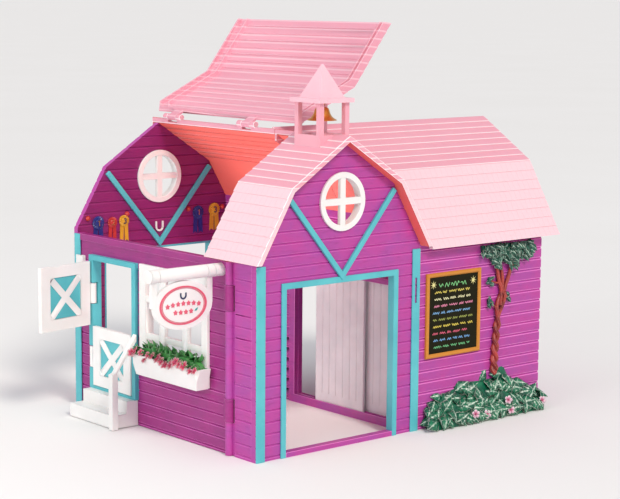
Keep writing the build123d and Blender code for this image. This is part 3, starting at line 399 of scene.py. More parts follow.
# each has its own look, and some a second one for corners: a paler painted highlight on their rounded edges
slotFinishes = dict(
    orchid_siding=(orchidAbs, orchidEdge), pink_roof=(pinkAbs, pinkEdge), teal_trim=[tealAbs],
    white_plastic=[whiteAbs], gold_paint=[goldPaint], ochre_frame=[ochrePaint], slate_board=[slateBoard],
    brick_bark=[barkRed], leaf_green=[leafGreen], rosette_blue=[ribbonBlue], rosette_red=[ribbonRed],
    rosette_yellow=[ribbonYellow])
nodeFinishes = dict(
    wing_roof_front=(wingRoof, wingEdge), wing_roof_rear=(wingRoof, wingEdge),
    front_roof=(hallRoof, hallEdge), rear_roof=(hallRoof, hallEdge), roof_flap=(flapShell, flapEdge),
    rear_gable_wall=(shadedRearGable, rearEdge), side_wall_panel=(shadedSidePanelAbs, orchidEdge),
    sliding_door_front=[doorAbs], sliding_door_rear=[doorAbs], cupola_cap=[palePink],
    shrub_bed=[shrubGreen], flower_foliage=[boxGreen])


def newTree(name, **sockets):  # a geometry tree with its named inputs
    tree = bpy.data.node_groups.new(name, "GeometryNodeTree")
    for kind, titles in {"Geometry": ["Geometry"], **sockets}.items():
        for title in titles:
            tree.interface.new_socket(title, in_out="INPUT", socket_type="NodeSocket" + kind)
    tree.interface.new_socket("Geometry", in_out="OUTPUT", socket_type="NodeSocketGeometry")
    return tree, partial(addNode, tree)


# moulded parts have no knife edges: each outer corner gets a small round, with a pale painted highlight on
# some parts
def mouldedEdgeTree():
    tree, add = newTree("moulded edges", Float=["Sharp Angle"])
    given = add("NodeGroup", "Input").outputs
    angle = add("GeometryNode", "InputMeshEdgeAngle").outputs
    sharp, convex = (
        add("FunctionNode", "Compare", {
            "A": angle[title], "B": given["Sharp Angle"]}, operation="GREATER_THAN")
        for title in ("Unsigned Angle", "Signed Angle"))
    smooth = add("GeometryNode", "SetShadeSmooth", {"Geometry": given["Geometry"], "Shade Smooth": True})
    crisp = add("GeometryNode", "SetShadeSmooth", {
        "Geometry": smooth, "Selection": sharp, "Shade Smooth": False}, domain="EDGE")
    weights = add("GeometryNode", "StoreNamedAttribute", {
        "Geometry": crisp, "Name": "bevel_weight_edge", "Value": convex}, data_type="FLOAT", domain="EDGE")
    add("NodeGroup", "Output", {"Geometry": weights})
    return tree


edgeValues = dict(radiusMm=0.32, roofRadiusMm=0.4, segments=2, sharpDegrees=28, weldMm=0.001)


def setInputs(modifier, values):  # a modifier's inputs go by the sockets' identifiers
    for item in modifier.node_group.interface.items_tree:
        if item.in_out == "INPUT" and item.name in values:
            modifier[item.identifier] = values[item.name]


def dressNodes():
    v = named(edgeValues)
    edgeTree = mouldedEdgeTree()
    for part in frame["record"]["subparts"]:
        nodeName, slotName = part["node"], part["material_slot"]
        obj = frame["nodes"][nodeName]
        look, *painted_highlight = nodeFinishes.get(nodeName, slotFinishes[slotName])
        obj.data.materials.clear()
        obj.data.materials.append(look)
        obj.modifiers.new("weld", "WELD").merge_threshold = mm(v.weldMm)
        picked = obj.modifiers.new("edges", "NODES")
        picked.node_group = edgeTree
        setInputs(picked, {"Sharp Angle": math.radians(v.sharpDegrees)})
        if nodeName.startswith("cupola"):  # thin posts, left sharp
            continue
        bevel = obj.modifiers.new("edge round", "BEVEL")
        bevel.width = mm(v.roofRadiusMm if slotName == "pink_roof" else v.radiusMm)
        bevel.segments = v.segments
        bevel.limit_method = "WEIGHT"
        bevel.harden_normals = True
        # painted highlight: the round's faces take the pale edge finish
        if painted_highlight:
            obj.data.materials.append(painted_highlight[0])
            bevel.material = 1


dressNodes()
print("materials and edge rounds on", len(frame["nodes"]), "nodes")

cameraValues = dict(place=(-0.7502, -0.8464, 0.2907), turn=40.534, down=8.11, roll=0.48, lens=103.29)


def placeCamera():
    v = named(cameraValues)
    data = bpy.data.cameras.new("camera")
    data.lens = v.lens
    data.sensor_width = 36
    data.clip_start = 0.01
    data.clip_end = 1000
    turns = ((-v.turn, "Z"), (90 - v.down, "X"), (v.roll, "Z"))
    heading, tilt, roll = (Matrix.Rotation(math.radians(angle), 4, axis) for angle, axis in turns)
    camera = linkedObject("camera", data)
    camera.matrix_world = Matrix.Translation(v.place) @ heading @ tilt @ roll
    bpy.context.scene.camera = camera


middle = (0.03, 0.1, 0.1)
lightValues = {
    "key": dict(kind="SUN", place=(-0.35, -1.5, 1.55), aim=middle, energy=1.75, colour="#FFF8EE",
                settings=dict(angle=0.25)),
    "fill": dict(kind="AREA", place=(0.7, -1.7, 0.7), aim=middle, energy=2, colour="#F2F5FF",
                 settings=dict(shape="DISK", size=1.6)),
    "side": dict(kind="AREA", place=(-0.95, 0, 0.42), aim=middle, energy=3.2, colour="#FFFFFF",
                 settings=dict(shape="DISK", size=0.5)),
    # the ground inside the open hall throws light up to its roof, and a little on the doors
    "roofBounce": dict(
        kind="SPOT", place=(-0.03, 0.1, 0.015), aim=(0.04, 0.11, 0.19), energy=0.62, colour="#FFFFFF",
        settings=dict(shadow_soft_size=0.02, spot_size=math.radians(52), spot_blend=0.4)),
    "bounce": dict(kind="AREA", place=(-0.03, 0.12, 0.012), aim=(0.03, 0.1, 0.19), energy=0.05,
                   colour="#FFFFFF", settings=dict(shape="DISK", size=0.06)),
}
worldValues = dict(colour="#F2F4FA", strength=0.66)


def placeLights():
    for name, values in lightValues.items():
        v = named(values)
        data = bpy.data.lights.new(name, v.kind)
        data.energy = v.energy
        data.color = linearColour(v.colour)[:3]
        for setting, value in v.settings.items():
            setattr(data, setting, value)
        light = linkedObject(name, data)
        light.location = v.place
        light.visible_camera = False
        light.rotation_euler = (Vector(v.aim) - light.location).to_track_quat("-Z", "Y").to_euler()
    world = bpy.data.worlds.new("studio")
    world.use_nodes = True
    background = world.node_tree.nodes["Background"].inputs
    background["Color"].default_value = linearColour(worldValues["colour"])
    background["Strength"].default_value = worldValues["strength"]
    bpy.context.scene.world = world


floorValues = dict(half=400, colour="#F2F1F0", mottle="#EDECEA", roughness=0.95, mottleMm=400)


def layFloor():
    v = named(floorValues)
    bm = bmesh.new()
    bmesh.ops.create_grid(bm, x_segments=1, y_segments=1, size=v.half)
    paint = newMaterial("pale studio floor", printedFinish, v.colour, v.mottle, v.roughness, v.mottleMm)
    floor = meshObject("floor", bm, paint)


placeCamera()
placeLights()
layFloor()
bpy.context.scene.view_settings.view_transform = "Standard"
print("camera, lights and floor placed")


def joinLoops(bm, loops, closed=False):  # faces between loops of corners; a loop of one is a point
    for a, b in zip(loops, loops[1:] + loops[:1] if closed else loops[1:]):
        for k in range(max(len(a), len(b))):
            j = k + 1
            corners = (a[k % len(a)], a[j % len(a)], b[j % len(b)], b[k % len(b)])
            bm.faces.new(list(dict.fromkeys(corners)))


def addLoops(bm, loops, closed=False):  # loops of places in millimetres, made and joined
    made = [[bm.verts.new(mm(*place)) for place in loop] for loop in loops]
    joinLoops(bm, made, closed)
    return made


def circle(count):  # directions round a circle
    angles = [2 * math.pi * k / count for k in range(count)]
    return [(math.cos(a), math.sin(a)) for a in angles]


# flat reliefs, drawn across x and up z in millimetres
def addPlate(bm, outline, y0, y1):  # closed plate between two depths
    front, back = addLoops(bm, [[(x, y, z) for x, z in outline] for y in (y0, y1)])
    bm.faces.new(front)
    bm.faces.new(back[::-1])


def addStroke(bm, points, width, y0, y1):  # a drawn line as closed flat bars
    sides = []
    for k, point in enumerate(points):
        ahead = Vector(points[min(k + 1, len(points) - 1)]) - Vector(points[max(k - 1, 0)])
        side = Vector((-ahead.y, ahead.x)).normalized() * width / 2
        sides.append((Vector(point) + side, Vector(point) - side))
    for (left, right), (nextLeft, nextRight) in zip(sides, sides[1:]):
        addPlate(bm, (left, nextLeft, nextRight, right), y0, y1)


def addRing(bm, outer, inner, y0, y1):  # closed flat ring between two loops of as many points
    edges = ((outer, y0), (inner, y0), (inner, y1), (outer, y1))
    addLoops(bm, [[(x, y, z) for x, z in loop] for loop, y in edges], closed=True)


def ellipse(x, z, wide, high, count=64):
    return [(x + wide * c, z + high * s) for c, s in circle(count)]


def star(x, z, reach, waist, points):
    radii = (reach, waist) * points
    return [(x - radius * s, z + radius * c) for radius, (c, s) in zip(radii, circle(2 * points))]


def leafMesh(name, values):  # lobed leaf of unit length, its tip on +Y, closed below
    v = named(values)
    bm = bmesh.new()
    layers = [bm.verts.layers.float.new(title) for title in ("ridge", "across", "along")]

    def point(x, y, z, lift):
        vert = bm.verts.new((x, y, z))
        for layer, value in zip(layers, (lift, abs(x), y)):
            vert[layer] = value
        return vert

    spine = [point(0, y, z, 0.85) for y, z in v.spine]
    under = [point(0, y, z - v.thick, 0.2) for y, z in v.spine]
    for side in (1, -1):
        rim = [point(side * x, y, z, 1) for x, y, z in v.rim]
        inner = [point(side * x, y, z, 0) for x, y, z in v.inner]
        bands = ((spine, inner), (inner, rim), (rim, under))
        faces = [(a[k], a[k + 1], b[k + 1], b[k]) for a, b in bands for k in range(3)]
        faces += [(spine[0], inner[0], rim[0], under[0]), (spine[3], under[3], rim[3], inner[3])]
        for corners in faces:
            bm.faces.new(corners[::side])
    return meshFrom(name, bm)


ivyValues = dict(
    thick=0.07,
    spine=((0.02, 0.03), (0.34, 0.12), (0.68, 0.1), (1.0, -0.02)),
    inner=((0.1, 0.02, 0.0), (0.24, 0.3, 0.03), (0.17, 0.62, 0.03), (0.05, 0.9, 0.0)),
    rim=((0.24, -0.02, -0.06), (0.5, 0.3, -0.08), (0.3, 0.6, -0.04), (0.07, 0.88, -0.04)))


def blossomMesh(name, values):  # cupped petals round a middle, face on +Z, unit radius, each closed
    v = named(values)
    bm = bmesh.new()
    ridge = bm.verts.layers.float.new("ridge")
    for k in range(v.petals):
        spin = Matrix.Rotation(2 * math.pi * k / v.petals, 3, "Z")
        verts = []
        for x, y, z, lift in v.outline + (v.middle, v.back):
            verts.append(bm.verts.new(spin @ Vector((x, y, z))))
            verts[-1][ridge] = lift
        *top, middle, back = verts
        for a, b in zip(top, top[1:] + top[:1]):
            bm.faces.new((a, b, middle))
            bm.faces.new((b, a, back))
    return meshFrom(name, bm)


petalValues = dict(  # x, y, z and how much pale paint each corner catches
    petals=5, middle=(0, 0.5, 0.05, 0.1), back=(0, 0.45, -0.12, 0),
    outline=((0.06, 0, 0.12, 0.2), (0.34, 0.42, 0.2, 0.6), (0.36, 0.8, 0.26, 1), (0, 1, 0.2, 1),
             (-0.36, 0.8, 0.26, 1), (-0.34, 0.42, 0.2, 0.6), (-0.06, 0, 0.12, 0.2)))


# scatters a shape over a surface, tips laid to one direction, tilted and spun at random
def scatterTree():
    tree, add = newTree(
        "scatter over a surface", Object=["Shape"], Vector=["Direction"], Int=["Seed"], Material=["Finish"],
        Float=["Spacing", "Density", "Size Min", "Size Max", "Spread", "Lift"])
    given = add("NodeGroup", "Input").outputs
    spots = add("GeometryNode", "DistributePointsOnFaces", {
        "Mesh": given["Geometry"], "Distance Min": given["Spacing"], "Density Max": given["Density"],
        "Seed": given["Seed"]}, distribute_method="POISSON").outputs
    stood = add("FunctionNode", "AlignRotationToVector", {"Vector": spots["Normal"]}, axis="Z")
    aimed = add("FunctionNode", "AlignRotationToVector", {
        "Rotation": stood, "Vector": given["Direction"]}, axis="Y", pivot_axis="Z")
    turns = []
    for title, least, seedStep in (("Lift", 0.3, 7), ("Spread", -1, 13)):
        low = add("ShaderNode", "Math", {0: given[title], 1: least}, operation="MULTIPLY")
        seed = add("ShaderNode", "Math", {0: given["Seed"], 1: seedStep}, operation="ADD")
        turns.append(add("FunctionNode", "RandomValue", {
            "Min": low, "Max": given[title], "Seed": seed}, data_type="FLOAT"))
    size = add("FunctionNode", "RandomValue", {
        "Min": given["Size Min"], "Max": given["Size Max"], "Seed": given["Seed"]}, data_type="FLOAT")
    turn = add("ShaderNode", "CombineXYZ", {"X": turns[0], "Z": turns[1]})
    euler = add("FunctionNode", "EulerToRotation", {0: turn})
    laid = add("FunctionNode", "RotateRotation", {
        "Rotation": aimed, "Rotate By": euler}, rotation_space="LOCAL")
    shape = add("GeometryNode", "ObjectInfo", {"Object": given["Shape"]}).outputs["Geometry"]
    placed = add("GeometryNode", "InstanceOnPoints", {
        "Points": spots["Points"], "Instance": shape, "Rotation": laid, "Scale": size})
    smooth = add("GeometryNode", "SetShadeSmooth", {"Geometry": placed, "Shade Smooth": True})
    realized = add("GeometryNode", "RealizeInstances", {"Geometry": smooth})
    painted = add("GeometryNode", "SetMaterial", {"Geometry": realized, "Material": given["Finish"]})
    add("NodeGroup", "Output", {"Geometry": painted})
    return tree


crownValues = dict(
    x=142.4, deep=2.4, sprayRadius=2, sprayTop=101, sprays=((-5.2, 96), (-5, 81), (12.6, 84)),
    outline=((-14.6, 121.3), (-13.6, 115), (-7.6, 114), (-5, 110.2), (1.2, 106.6), (7.6, 109.4),
             (13.4, 106.2), (20.6, 105.6), (23.4, 111.4), (30.4, 111), (36.6, 112.6), (37.4, 121.3)))
bankValues = dict(  # outline: place along the wall, then height there
    left=78.5, right=186, deep=10.4, rim=0.4, bulge=0.75, along=48, up=10,
    outline=((0, 8), (0.02, 15), (0.1, 21), (0.235, 23.5), (0.36, 27), (0.49, 26), (0.62, 26.5), (0.65, 33.5),
             (0.7, 33.5), (0.75, 25), (0.9, 19.5), (0.98, 15), (1, 9)))


def heightAlong(outline, u):
    for (u0, h0), (u1, h1) in zip(outline, outline[1:]):
        if u <= u1:
            return h0 + (h1 - h0) * (u - u0) / (u1 - u0)
    return outline[-1][1]


def crownBacking():
    v = named(crownValues)
    bm = bmesh.new()
    addPlate(bm, [(v.x + u, z) for u, z in v.outline], -v.deep, 0)
    for u, z in v.sprays:
        addPlate(bm, ellipse(v.x + u, z, v.sprayRadius, v.sprayRadius * 1.4, 10), -v.deep * 0.7, 0)
    return addPiece("crown_backing", bm, leafGreen, "barn", "leaf_green", "tree_foliage")


def bankBacking():  # sloping bank, highest at the wall
    v = named(bankValues)
    bm = bmesh.new()
    rows = []
    for k in range(v.along + 1):
        u = k / v.along
        x = v.left + (v.right - v.left) * u
        rise = heightAlong(v.outline, u) - v.rim
        steps = [n / v.up for n in range(v.up + 1)]
        line = [(-v.deep * (1 - t), v.rim + rise * t ** v.bulge) for t in steps] + [(0, 0), (-v.deep, 0)]
        rows.append([(x, y, z) for y, z in line])
    rows = addLoops(bm, rows)
    bm.faces.new(rows[0])
    bm.faces.new(rows[-1][::-1])
    return addPiece("shrub_bank", bm, shrubGreen, "barn", "leaf_green", "shrub_bed")


def carrierFrom(mesh, keep):  # the faces that the leaves grow on
    bm = bmesh.new()
    bm.from_mesh(mesh)
    bmesh.ops.remove_doubles(bm, verts=bm.verts, dist=mm(edgeValues["weldMm"]))
    bm.normal_update()
    bmesh.ops.delete(bm, geom=[face for face in bm.faces if not keep(face)], context="FACES")
    return meshFrom("carrier", bm, closed=False)


def plainMesh(name, carrier, tree, inputs):  # the tree's result as one plain mesh
    holder = linkedObject(name + " holder", carrier)
    modifier = holder.modifiers.new("nodes", "NODES")
    modifier.node_group = tree
    setInputs(modifier, inputs)
    graph = bpy.context.evaluated_depsgraph_get()
    mesh = bpy.data.meshes.new_from_object(holder.evaluated_get(graph), depsgraph=graph)
    bpy.data.objects.remove(holder)
    mesh.name = name
    return linkedObject(name, mesh)


scatter = scatterTree()
ivyLeaf = bpy.data.objects.new("ivy leaf", leafMesh("ivy leaf", ivyValues))
petalMesh = blossomMesh("blossom", petalValues)
boxBody = body_of(frame["nodes"]["flower_box"])[0]


def keepInside(verts, size):  # moves back, whole, each leaf that leans past the front or the floor
    low = cadBox[0]
    for start in range(0, len(verts), size):
        leaf = verts[start:start + size]
        back, rise = (max(0, low[axis] - min(vert.co[axis] for vert in leaf)) for axis in (1, 2))
        for vert in leaf:
            vert.co.y += back
            vert.co.z += rise


def scatterLeaves(name, carrier, finish, body, values):
    v = named(values)
    leaves = plainMesh(name, carrier, scatter, {
        "Shape": ivyLeaf, "Spacing": mm(v.spacing), "Density": v.perSquareMm * 1e6,
        "Size Min": mm(v.smallest), "Size Max": mm(v.largest), "Spread": math.radians(v.spread),
        "Lift": math.radians(v.lift), "Direction": v.direction, "Seed": v.seed, "Finish": finish})
    keepInside(leaves.data.vertices, len(ivyLeaf.data.vertices))
    placePiece(leaves, body, "leaf_green")


crownLeaves = dict(spacing=2.3, perSquareMm=0.6, smallest=4.6, largest=6.2, spread=75, lift=38,
                   direction=(0.1, 0, -1), seed=4)
sprayLeaves = dict(spacing=1.6, perSquareMm=0.9, smallest=3.2, largest=4.6, spread=140, lift=30,
                   direction=(0, 0, -1), seed=9)
bedLeaves = dict(spacing=4.7, perSquareMm=0.2, smallest=9, largest=12.5, spread=130, lift=26,
                 direction=(0.4, -0.6, -1), seed=12)
boxLeaves = dict(spacing=2.6, perSquareMm=0.5, smallest=4.4, largest=6.4, spread=85, lift=72,
                 direction=(-1, 0, 0), seed=6, above=53.9)


def growLeaves():
    crown = crownBacking()
    split = mm(crownValues["sprayTop"])
    levels = (("crown_leaves", split, math.inf, crownLeaves), ("spray_leaves", -math.inf, split, sprayLeaves))
    for name, low, high, values in levels:
        front = carrierFrom(crown.data, lambda face: (
            face.normal.y < -0.9 and low < face.calc_center_median().z < high))
        scatterLeaves(name, front, leafGreen, "barn", values)
    bank = bankBacking()
    slope = carrierFrom(bank.data, lambda face: face.normal.z > 0.1 and face.normal.y < -0.1)
    scatterLeaves("shrub_leaves", slope, shrubGreen, "barn", bedLeaves)
    rim = mm(boxLeaves["above"])
    tufts = carrierFrom(frame["nodes"]["flower_foliage"].data, lambda face: (
        face.normal.z > 0.3 and face.calc_center_median().z > rim))
    scatterLeaves("window_box_leaves", tufts, boxGreen, boxBody, boxLeaves)


growLeaves()
print("leaves grown")

blossomValues = dict(
    shrubRadius=3.3, shrubFacing=(-0.3, -1, 0.25),
    shrub=((114.6, -11.9, 6.9), (125.6, -12.1, 5.2), (147.8, -11.1, 12), (149.6, -12.1, 4.8),
           (183.4, -10.6, 6.6)),
    boxRadius=3.7, boxCount=15, boxSeed=3, spin=1.7, bead=0.22, beadLift=0.12)


def placeBlossoms(name, blossoms, finish, body):  # each has its place, radius and facing, and a domed stamen
    v = named(blossomValues)
    petals = bmesh.new()
    petals.verts.layers.float.new("ridge")
    beads = bmesh.new()
    for k, (place, radius, facing) in enumerate(blossoms):
        start = len(petals.verts)
        petals.from_mesh(petalMesh)
        petals.verts.ensure_lookup_table()
        stood = Matrix.Translation(mm(*place)) @ Vector(facing).to_track_quat("Z", "Y").to_matrix().to_4x4()
        move = stood @ Matrix.Rotation(v.spin * k, 4, "Z") @ Matrix.Scale(mm(radius), 4)
        bmesh.ops.transform(petals, matrix=move, verts=petals.verts[start:])
        bead = stood @ Matrix.Translation((0, 0, mm(radius * v.beadLift)))
        bmesh.ops.create_icosphere(beads, subdivisions=2, radius=mm(radius * v.bead), matrix=bead)
    addPiece(name, petals, finish, body, "rosette_red", smooth=True)
    addPiece(name + "_stamens", beads, stamenRose, body, "rosette_yellow", smooth=True)


def plantBlossoms():
    v = named(blossomValues)
    shrub = [(place, v.shrubRadius, v.shrubFacing) for place in v.shrub]
    placeBlossoms("shrub_blossoms", shrub, blossomPale, "barn")
    low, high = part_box("flower_box")
    chance = random.Random(v.boxSeed).uniform
    blossoms = []
    for k in range(v.boxCount):
        along = low.y + (high.y - low.y) * (k + 0.5) / v.boxCount + mm(chance(-1.5, 1.5))
        place = (low.x * 1000 + chance(-0.9, 0.2), along * 1000, high.z * 1000 + chance(-2.4, 2.8))
        facing = (-1, chance(-0.4, 0.4), chance(0.1, 0.9))
        blossoms.append((place, v.boxRadius * chance(0.75, 1.1), facing))
    placeBlossoms("window_box_blossoms", blossoms, blossomPink, boxBody)


plantBlossoms()
print("blossoms placed")


def addTube(bm, path, radii, sides, ridgeDepth):  # closed tube with lengthwise bark ridges
    ridge = bm.verts.layers.float.get("ridge") or bm.verts.layers.float.new("ridge")
    rings = []
    for k, place in enumerate(path):
        ahead = Vector(path[min(k + 1, len(path) - 1)]) - Vector(path[max(k - 1, 0)])
        across = ahead.cross(Vector((0, 1, 0))).normalized()
        depth = across.cross(ahead).normalized()
        rings.append([])
        for j in range(sides):
            raised = j % 2
            angle = 2 * math.pi * j / sides + 0.12 * k
            reach = radii[k] * (1 + ridgeDepth * raised)
            vert = bm.verts.new(Vector(place) + reach * (math.cos(angle) * across + math.sin(angle) * depth))
            vert[ridge] = raised
            rings[-1].append(vert)
    joinLoops(bm, rings)
    bm.faces.new(rings[0][::-1])
    bm.faces.new(rings[-1])


trunkValues = dict(
    x=142.4, depth=1.8, ridgeDepth=0.12, strandRadius=1.7, tipRadius=1.15, sides=14, steps=80,
    sway=1.5, weave=1.1, lensSway=2.9, crossings=5, lensFrom=0.6,
    stem=((0, 30.5), (0.3, 44), (1.6, 60), (3.8, 76), (7.6, 87)),
    branchRadii=(1.5, 1.1), branches=(
        ((7.6, 86), (4.6, 92), (2.6, 97), (0.4, 108)), ((4.4, 78), (5.6, 88), (6.4, 97), (4, 108)),
        ((7.6, 86), (9.6, 91.6), (12, 96.4), (16.6, 108))),
    twigRadii=(0.9, 0.5), twigs=(
        ((3.6, 94), (0, 94.4), (-4.6, 96)), ((3.4, 74.5), (-0.6, 77.6), (-4.6, 81)),
        ((6, 82), (9, 82.4), (12.2, 84))))


def curvedThrough(points, steps):  # a smooth line through the points
    line = []
    last = len(points) - 1
    for k in range(steps + 1):
        at = k / steps * last
        i = min(int(at), last - 1)
        t = at - i
        p0, p1, p2, p3 = (Vector(points[max(0, min(last, i + n))]) for n in (-1, 0, 1, 2))
        line.append(0.5 * (2 * p1 + (p2 - p0) * t + (2 * p0 - 5 * p1 + 4 * p2 - p3) * t * t
                           + (3 * p1 - p0 - 3 * p2 + p3) * t ** 3))
    return line


def braidTrunk():
    v = named(trunkValues)
    bm = bmesh.new()
    for side in (1, -1):
        path = []
        radii = []
        for k, point in enumerate(curvedThrough(v.stem, v.steps)):
            t = k / v.steps
            sway = v.sway
            phase = math.pi * v.crossings * min(t / v.lensFrom, 1)
            if t > v.lensFrom:  # a long open eye under the fork
                sway = v.lensSway
                phase += math.pi * (t - v.lensFrom) / (1 - v.lensFrom)
            path.append(mm(v.x + point.x + side * sway * math.sin(phase),
                           -v.depth + side * v.weave * math.cos(phase), point.y))
            radii.append(mm(v.strandRadius + (v.tipRadius - v.strandRadius) * t))
        addTube(bm, path, radii, v.sides, v.ridgeDepth)
    thinner = ((v.branches, v.branchRadii, 16, 12), (v.twigs, v.twigRadii, 8, 8))
    for lines, (thick, thin), steps, sides in thinner:
        for line in lines:
            path = [mm(v.x + p.x, -v.depth, p.y) for p in curvedThrough(line, steps)]
            radii = [mm(thick + (thin - thick) * k / steps) for k in range(steps + 1)]
            addTube(bm, path, radii, sides, v.ridgeDepth)
    addPiece("braided_trunk", bm, barkRed, "barn", "brick_bark", "tree_trunk", smooth=True)


braidTrunk()
print("trunk braided")

boardValues = dict(  # profile: share of the frame's width, then how proud
    left=76, right=128, low=48.2, high=106.4, frame=2.9, overlap=0.3, deep=1,
    profile=((0, 0), (0, 1.5), (0.22, 2.1), (0.5, 2.2), (0.78, 1.9), (1, 1.2), (1, 0)))
chalkColours = ("#79C27E", "#E3CF62", "#E9E4B4", "#E58AA8", "#7FB2E0",
                "#9DA552", "#E6D05A", "#E0647E", "#78AEE0", "#6FBF83")
chalkValues = dict(
    left=82.2, right=121.8, top=100.4, bottom=53.4, face=-1, thick=0.14, sunk=0.1, width=0.42, wave=0.68,
    ripple=3.6, step=0.36, seed=21, starReach=3.1, starWaist=0.8, starPlaces=((82.6, 98.4), (120.6, 98.4)),
    starColour="#EFE7A2", starMottle="#D8CF86", roughness=0.85, mottleMm=1, titleScale=1.7, titleInset=5.4)


def buildChalkboard():  # picture frame with a rounded front, mitred at the corners
    v = named(boardValues)

    def corners(inset):
        left, right, low, high = v.left + inset, v.right - inset, v.low + inset, v.high - inset
        return (left, low), (right, low), (right, high), (left, high)

    moulding = bmesh.new()
    addLoops(moulding, [[(x, -proud, z) for x, z in corners(inward * v.frame)]
                        for inward, proud in v.profile], closed=True)
    addPiece("chalkboard_moulding", moulding, ochrePaint, "barn", "ochre_frame", "chalkboard_frame")
    board = bmesh.new()
    addPlate(board, corners(v.frame - v.overlap), -v.deep, 0)
    addPiece("chalkboard_face", board, slateBoard, "barn", "slate_board", "chalkboard_panel")


def markChalkboard():  # rows of scribbled words; the first is the title
    v = named(chalkValues)
    chance = random.Random(v.seed).uniform
    depths = (v.face - v.thick, v.face + v.sunk)
    for k, colour in enumerate(chalkColours):
        bm = bmesh.new()
        z = v.top - (v.top - v.bottom) * (k + 0.6) / len(chalkColours)
        scale = 1 if k else v.titleScale
        x = v.left + (chance(0, 2) if k else v.titleInset)
        end = v.right - (chance(0, 5) if k else v.titleInset)
        while x < end - 2:
            stop = min(end, x + chance(3.5, 8))
            phase = chance(0, 6)
            points = []
            while x < stop:
                rise = scale * (math.sin(phase + v.ripple * x / scale) * v.wave + chance(-0.3, 0.3))
                points.append((x, z + rise))
                x += v.step
            if len(points) > 1:
                addStroke(bm, points, v.width * scale ** 0.5, *depths)
            x += chance(1.0, 1.8)
        chalk = newMaterial(f"chalk stroke {k + 1}", printedFinish, colour, colour, v.roughness, v.mottleMm)
        addPiece(f"chalk_row_{k + 1}", bm, chalk, "barn", "slate_board")
    bm = bmesh.new()
    for x, z in v.starPlaces:
        addPlate(bm, star(x, z, v.starReach, v.starWaist, 8), *depths)
    chalk = newMaterial("chalk star", printedFinish, v.starColour, v.starMottle, v.roughness, v.mottleMm)
    addPiece("chalk_stars", bm, chalk, "barn", "slate_board")


buildChalkboard()
markChalkboard()
print("chalkboard marked")

signValues = dict(
    x=-101.7, z=99.75, halfWide=22.7, halfHigh=15.3, y=34, halfThick=1.2, sunk=0.2, raised=0.35,
    rings=((0.8, 0.735), (0.715, 0.7)), shoeUp=6.2, shoeRadius=2, shoeWide=1, shoeArm=1.6,
    flowers=((-12, 0), (-8, 0.7), (-4, 1), (0, 1.1), (4, 1), (8, 0.7), (12, 0), (-6, -4.2), (-2, -4.4),
             (2, -4.4), (6, -4.2)),
    flowerReach=1.75, flowerWaist=1.05, leaf=(10, -3.6), leafHalf=1.3,
    leafOutline=((-1, -0.6), (-0.2, 0.5), (1, 0.9), (0.3, -0.5)))


def paintSign():  # the same relief on both faces
    v = named(signValues)
    ring, shoe, leaf = (bmesh.new() for k in range(3))
    for side in (-1, 1):
        depths = [v.y + side * reach for reach in (v.halfThick - v.sunk, v.halfThick + v.raised)]
        for pair in v.rings:
            addRing(ring, *(ellipse(v.x, v.z, v.halfWide * f, v.halfHigh * f) for f in pair), *depths)
        for x, z in v.flowers:
            addPlate(ring, star(v.x - side * x, v.z + z, v.flowerReach, v.flowerWaist, 5), *depths)
        z = v.z + v.shoeUp
        bend = [math.pi + math.pi * k / 16 for k in range(17)]  # open end up
        line = [(v.x + v.shoeRadius * math.cos(a), z + v.shoeRadius * math.sin(a)) for a in bend]
        line = [(line[0][0], z + v.shoeArm)] + line + [(line[-1][0], z + v.shoeArm)]
        addStroke(shoe, line, v.shoeWide, *depths)
        x, z = v.x - side * v.leaf[0], v.z + v.leaf[1]
        addPlate(leaf, [(x + v.leafHalf * u, z + v.leafHalf * w) for u, w in v.leafOutline], *depths)
    addPiece("sign_ring_and_flowers", ring, ringPrint, "hanging_sign", "rosette_red")
    addPiece("sign_shoe", shoe, navyPrint, "hanging_sign", "rosette_blue")
    addPiece("sign_leaf", leaf, tealPrint, "hanging_sign", "teal_trim")


paintSign()
print("sign painted")

rosetteValues = dict(
    y=200, pleats=16, thick=1.4, button=0.56, buttonProud=0.7, tailLong=10.5, numeralWide=0.75,
    # each loop of a ring: reach and height of its crests, then of its valleys
    loops=((1, 0.75, 0.95, 0.45), (0.78, 1, 0.78, 0.6), (0.448, 0.8, 0.448, 0.8), (0.448, 0, 0.448, 0),
           (0.95, 0, 0.95, 0)),
    blue=((-53, 130.5, 5), (35, 132, 5)), red=((-41, 130, 4),), yellow=((-31, 130.5, 4.3), (50, 133, 5)))
numerals = dict(  # strokes on a unit square
    blue=((-0.22, 0.3), (0.04, 0.5), (0.04, -0.5)),
    red=((-0.28, 0.3), (-0.12, 0.48), (0.12, 0.48), (0.26, 0.28), (0.2, 0.05), (-0.28, -0.48), (0.3, -0.48)),
    yellow=((-0.26, 0.42), (0.02, 0.5), (0.24, 0.34), (0.18, 0.08), (0, 0.02), (0.22, -0.08), (0.26, -0.32),
            (0.02, -0.5), (-0.28, -0.4)))


def addPleatedRing(bm, x, z, radius, values):  # ring of folded ribbon, crests and valleys in turn
    v = named(values)
    loops = []
    for crestReach, crest, valleyReach, valley in v.loops:
        loops.append([])
        for k, (c, s) in enumerate(circle(2 * v.pleats)):
            reach, high = (valleyReach, valley) if k % 2 else (crestReach, crest)
            loops[-1].append((x + radius * reach * c, v.y - v.thick * high, z + radius * reach * s))
    addLoops(bm, loops, closed=True)


def addDome(bm, x, y, z, radius, proud, rings=5, around=24):  # button with a domed front towards -y
    loops = []
    for r in range(rings):
        angle = math.pi / 2 * r / rings
        reach = radius * math.cos(angle)
        loops.append([(u, y - proud * math.sin(angle), w) for u, w in ellipse(x, z, reach, reach, around)])
    back = addLoops(bm, loops + [[(x, y - proud, z)]])[0]
    bm.faces.new(back[::-1])


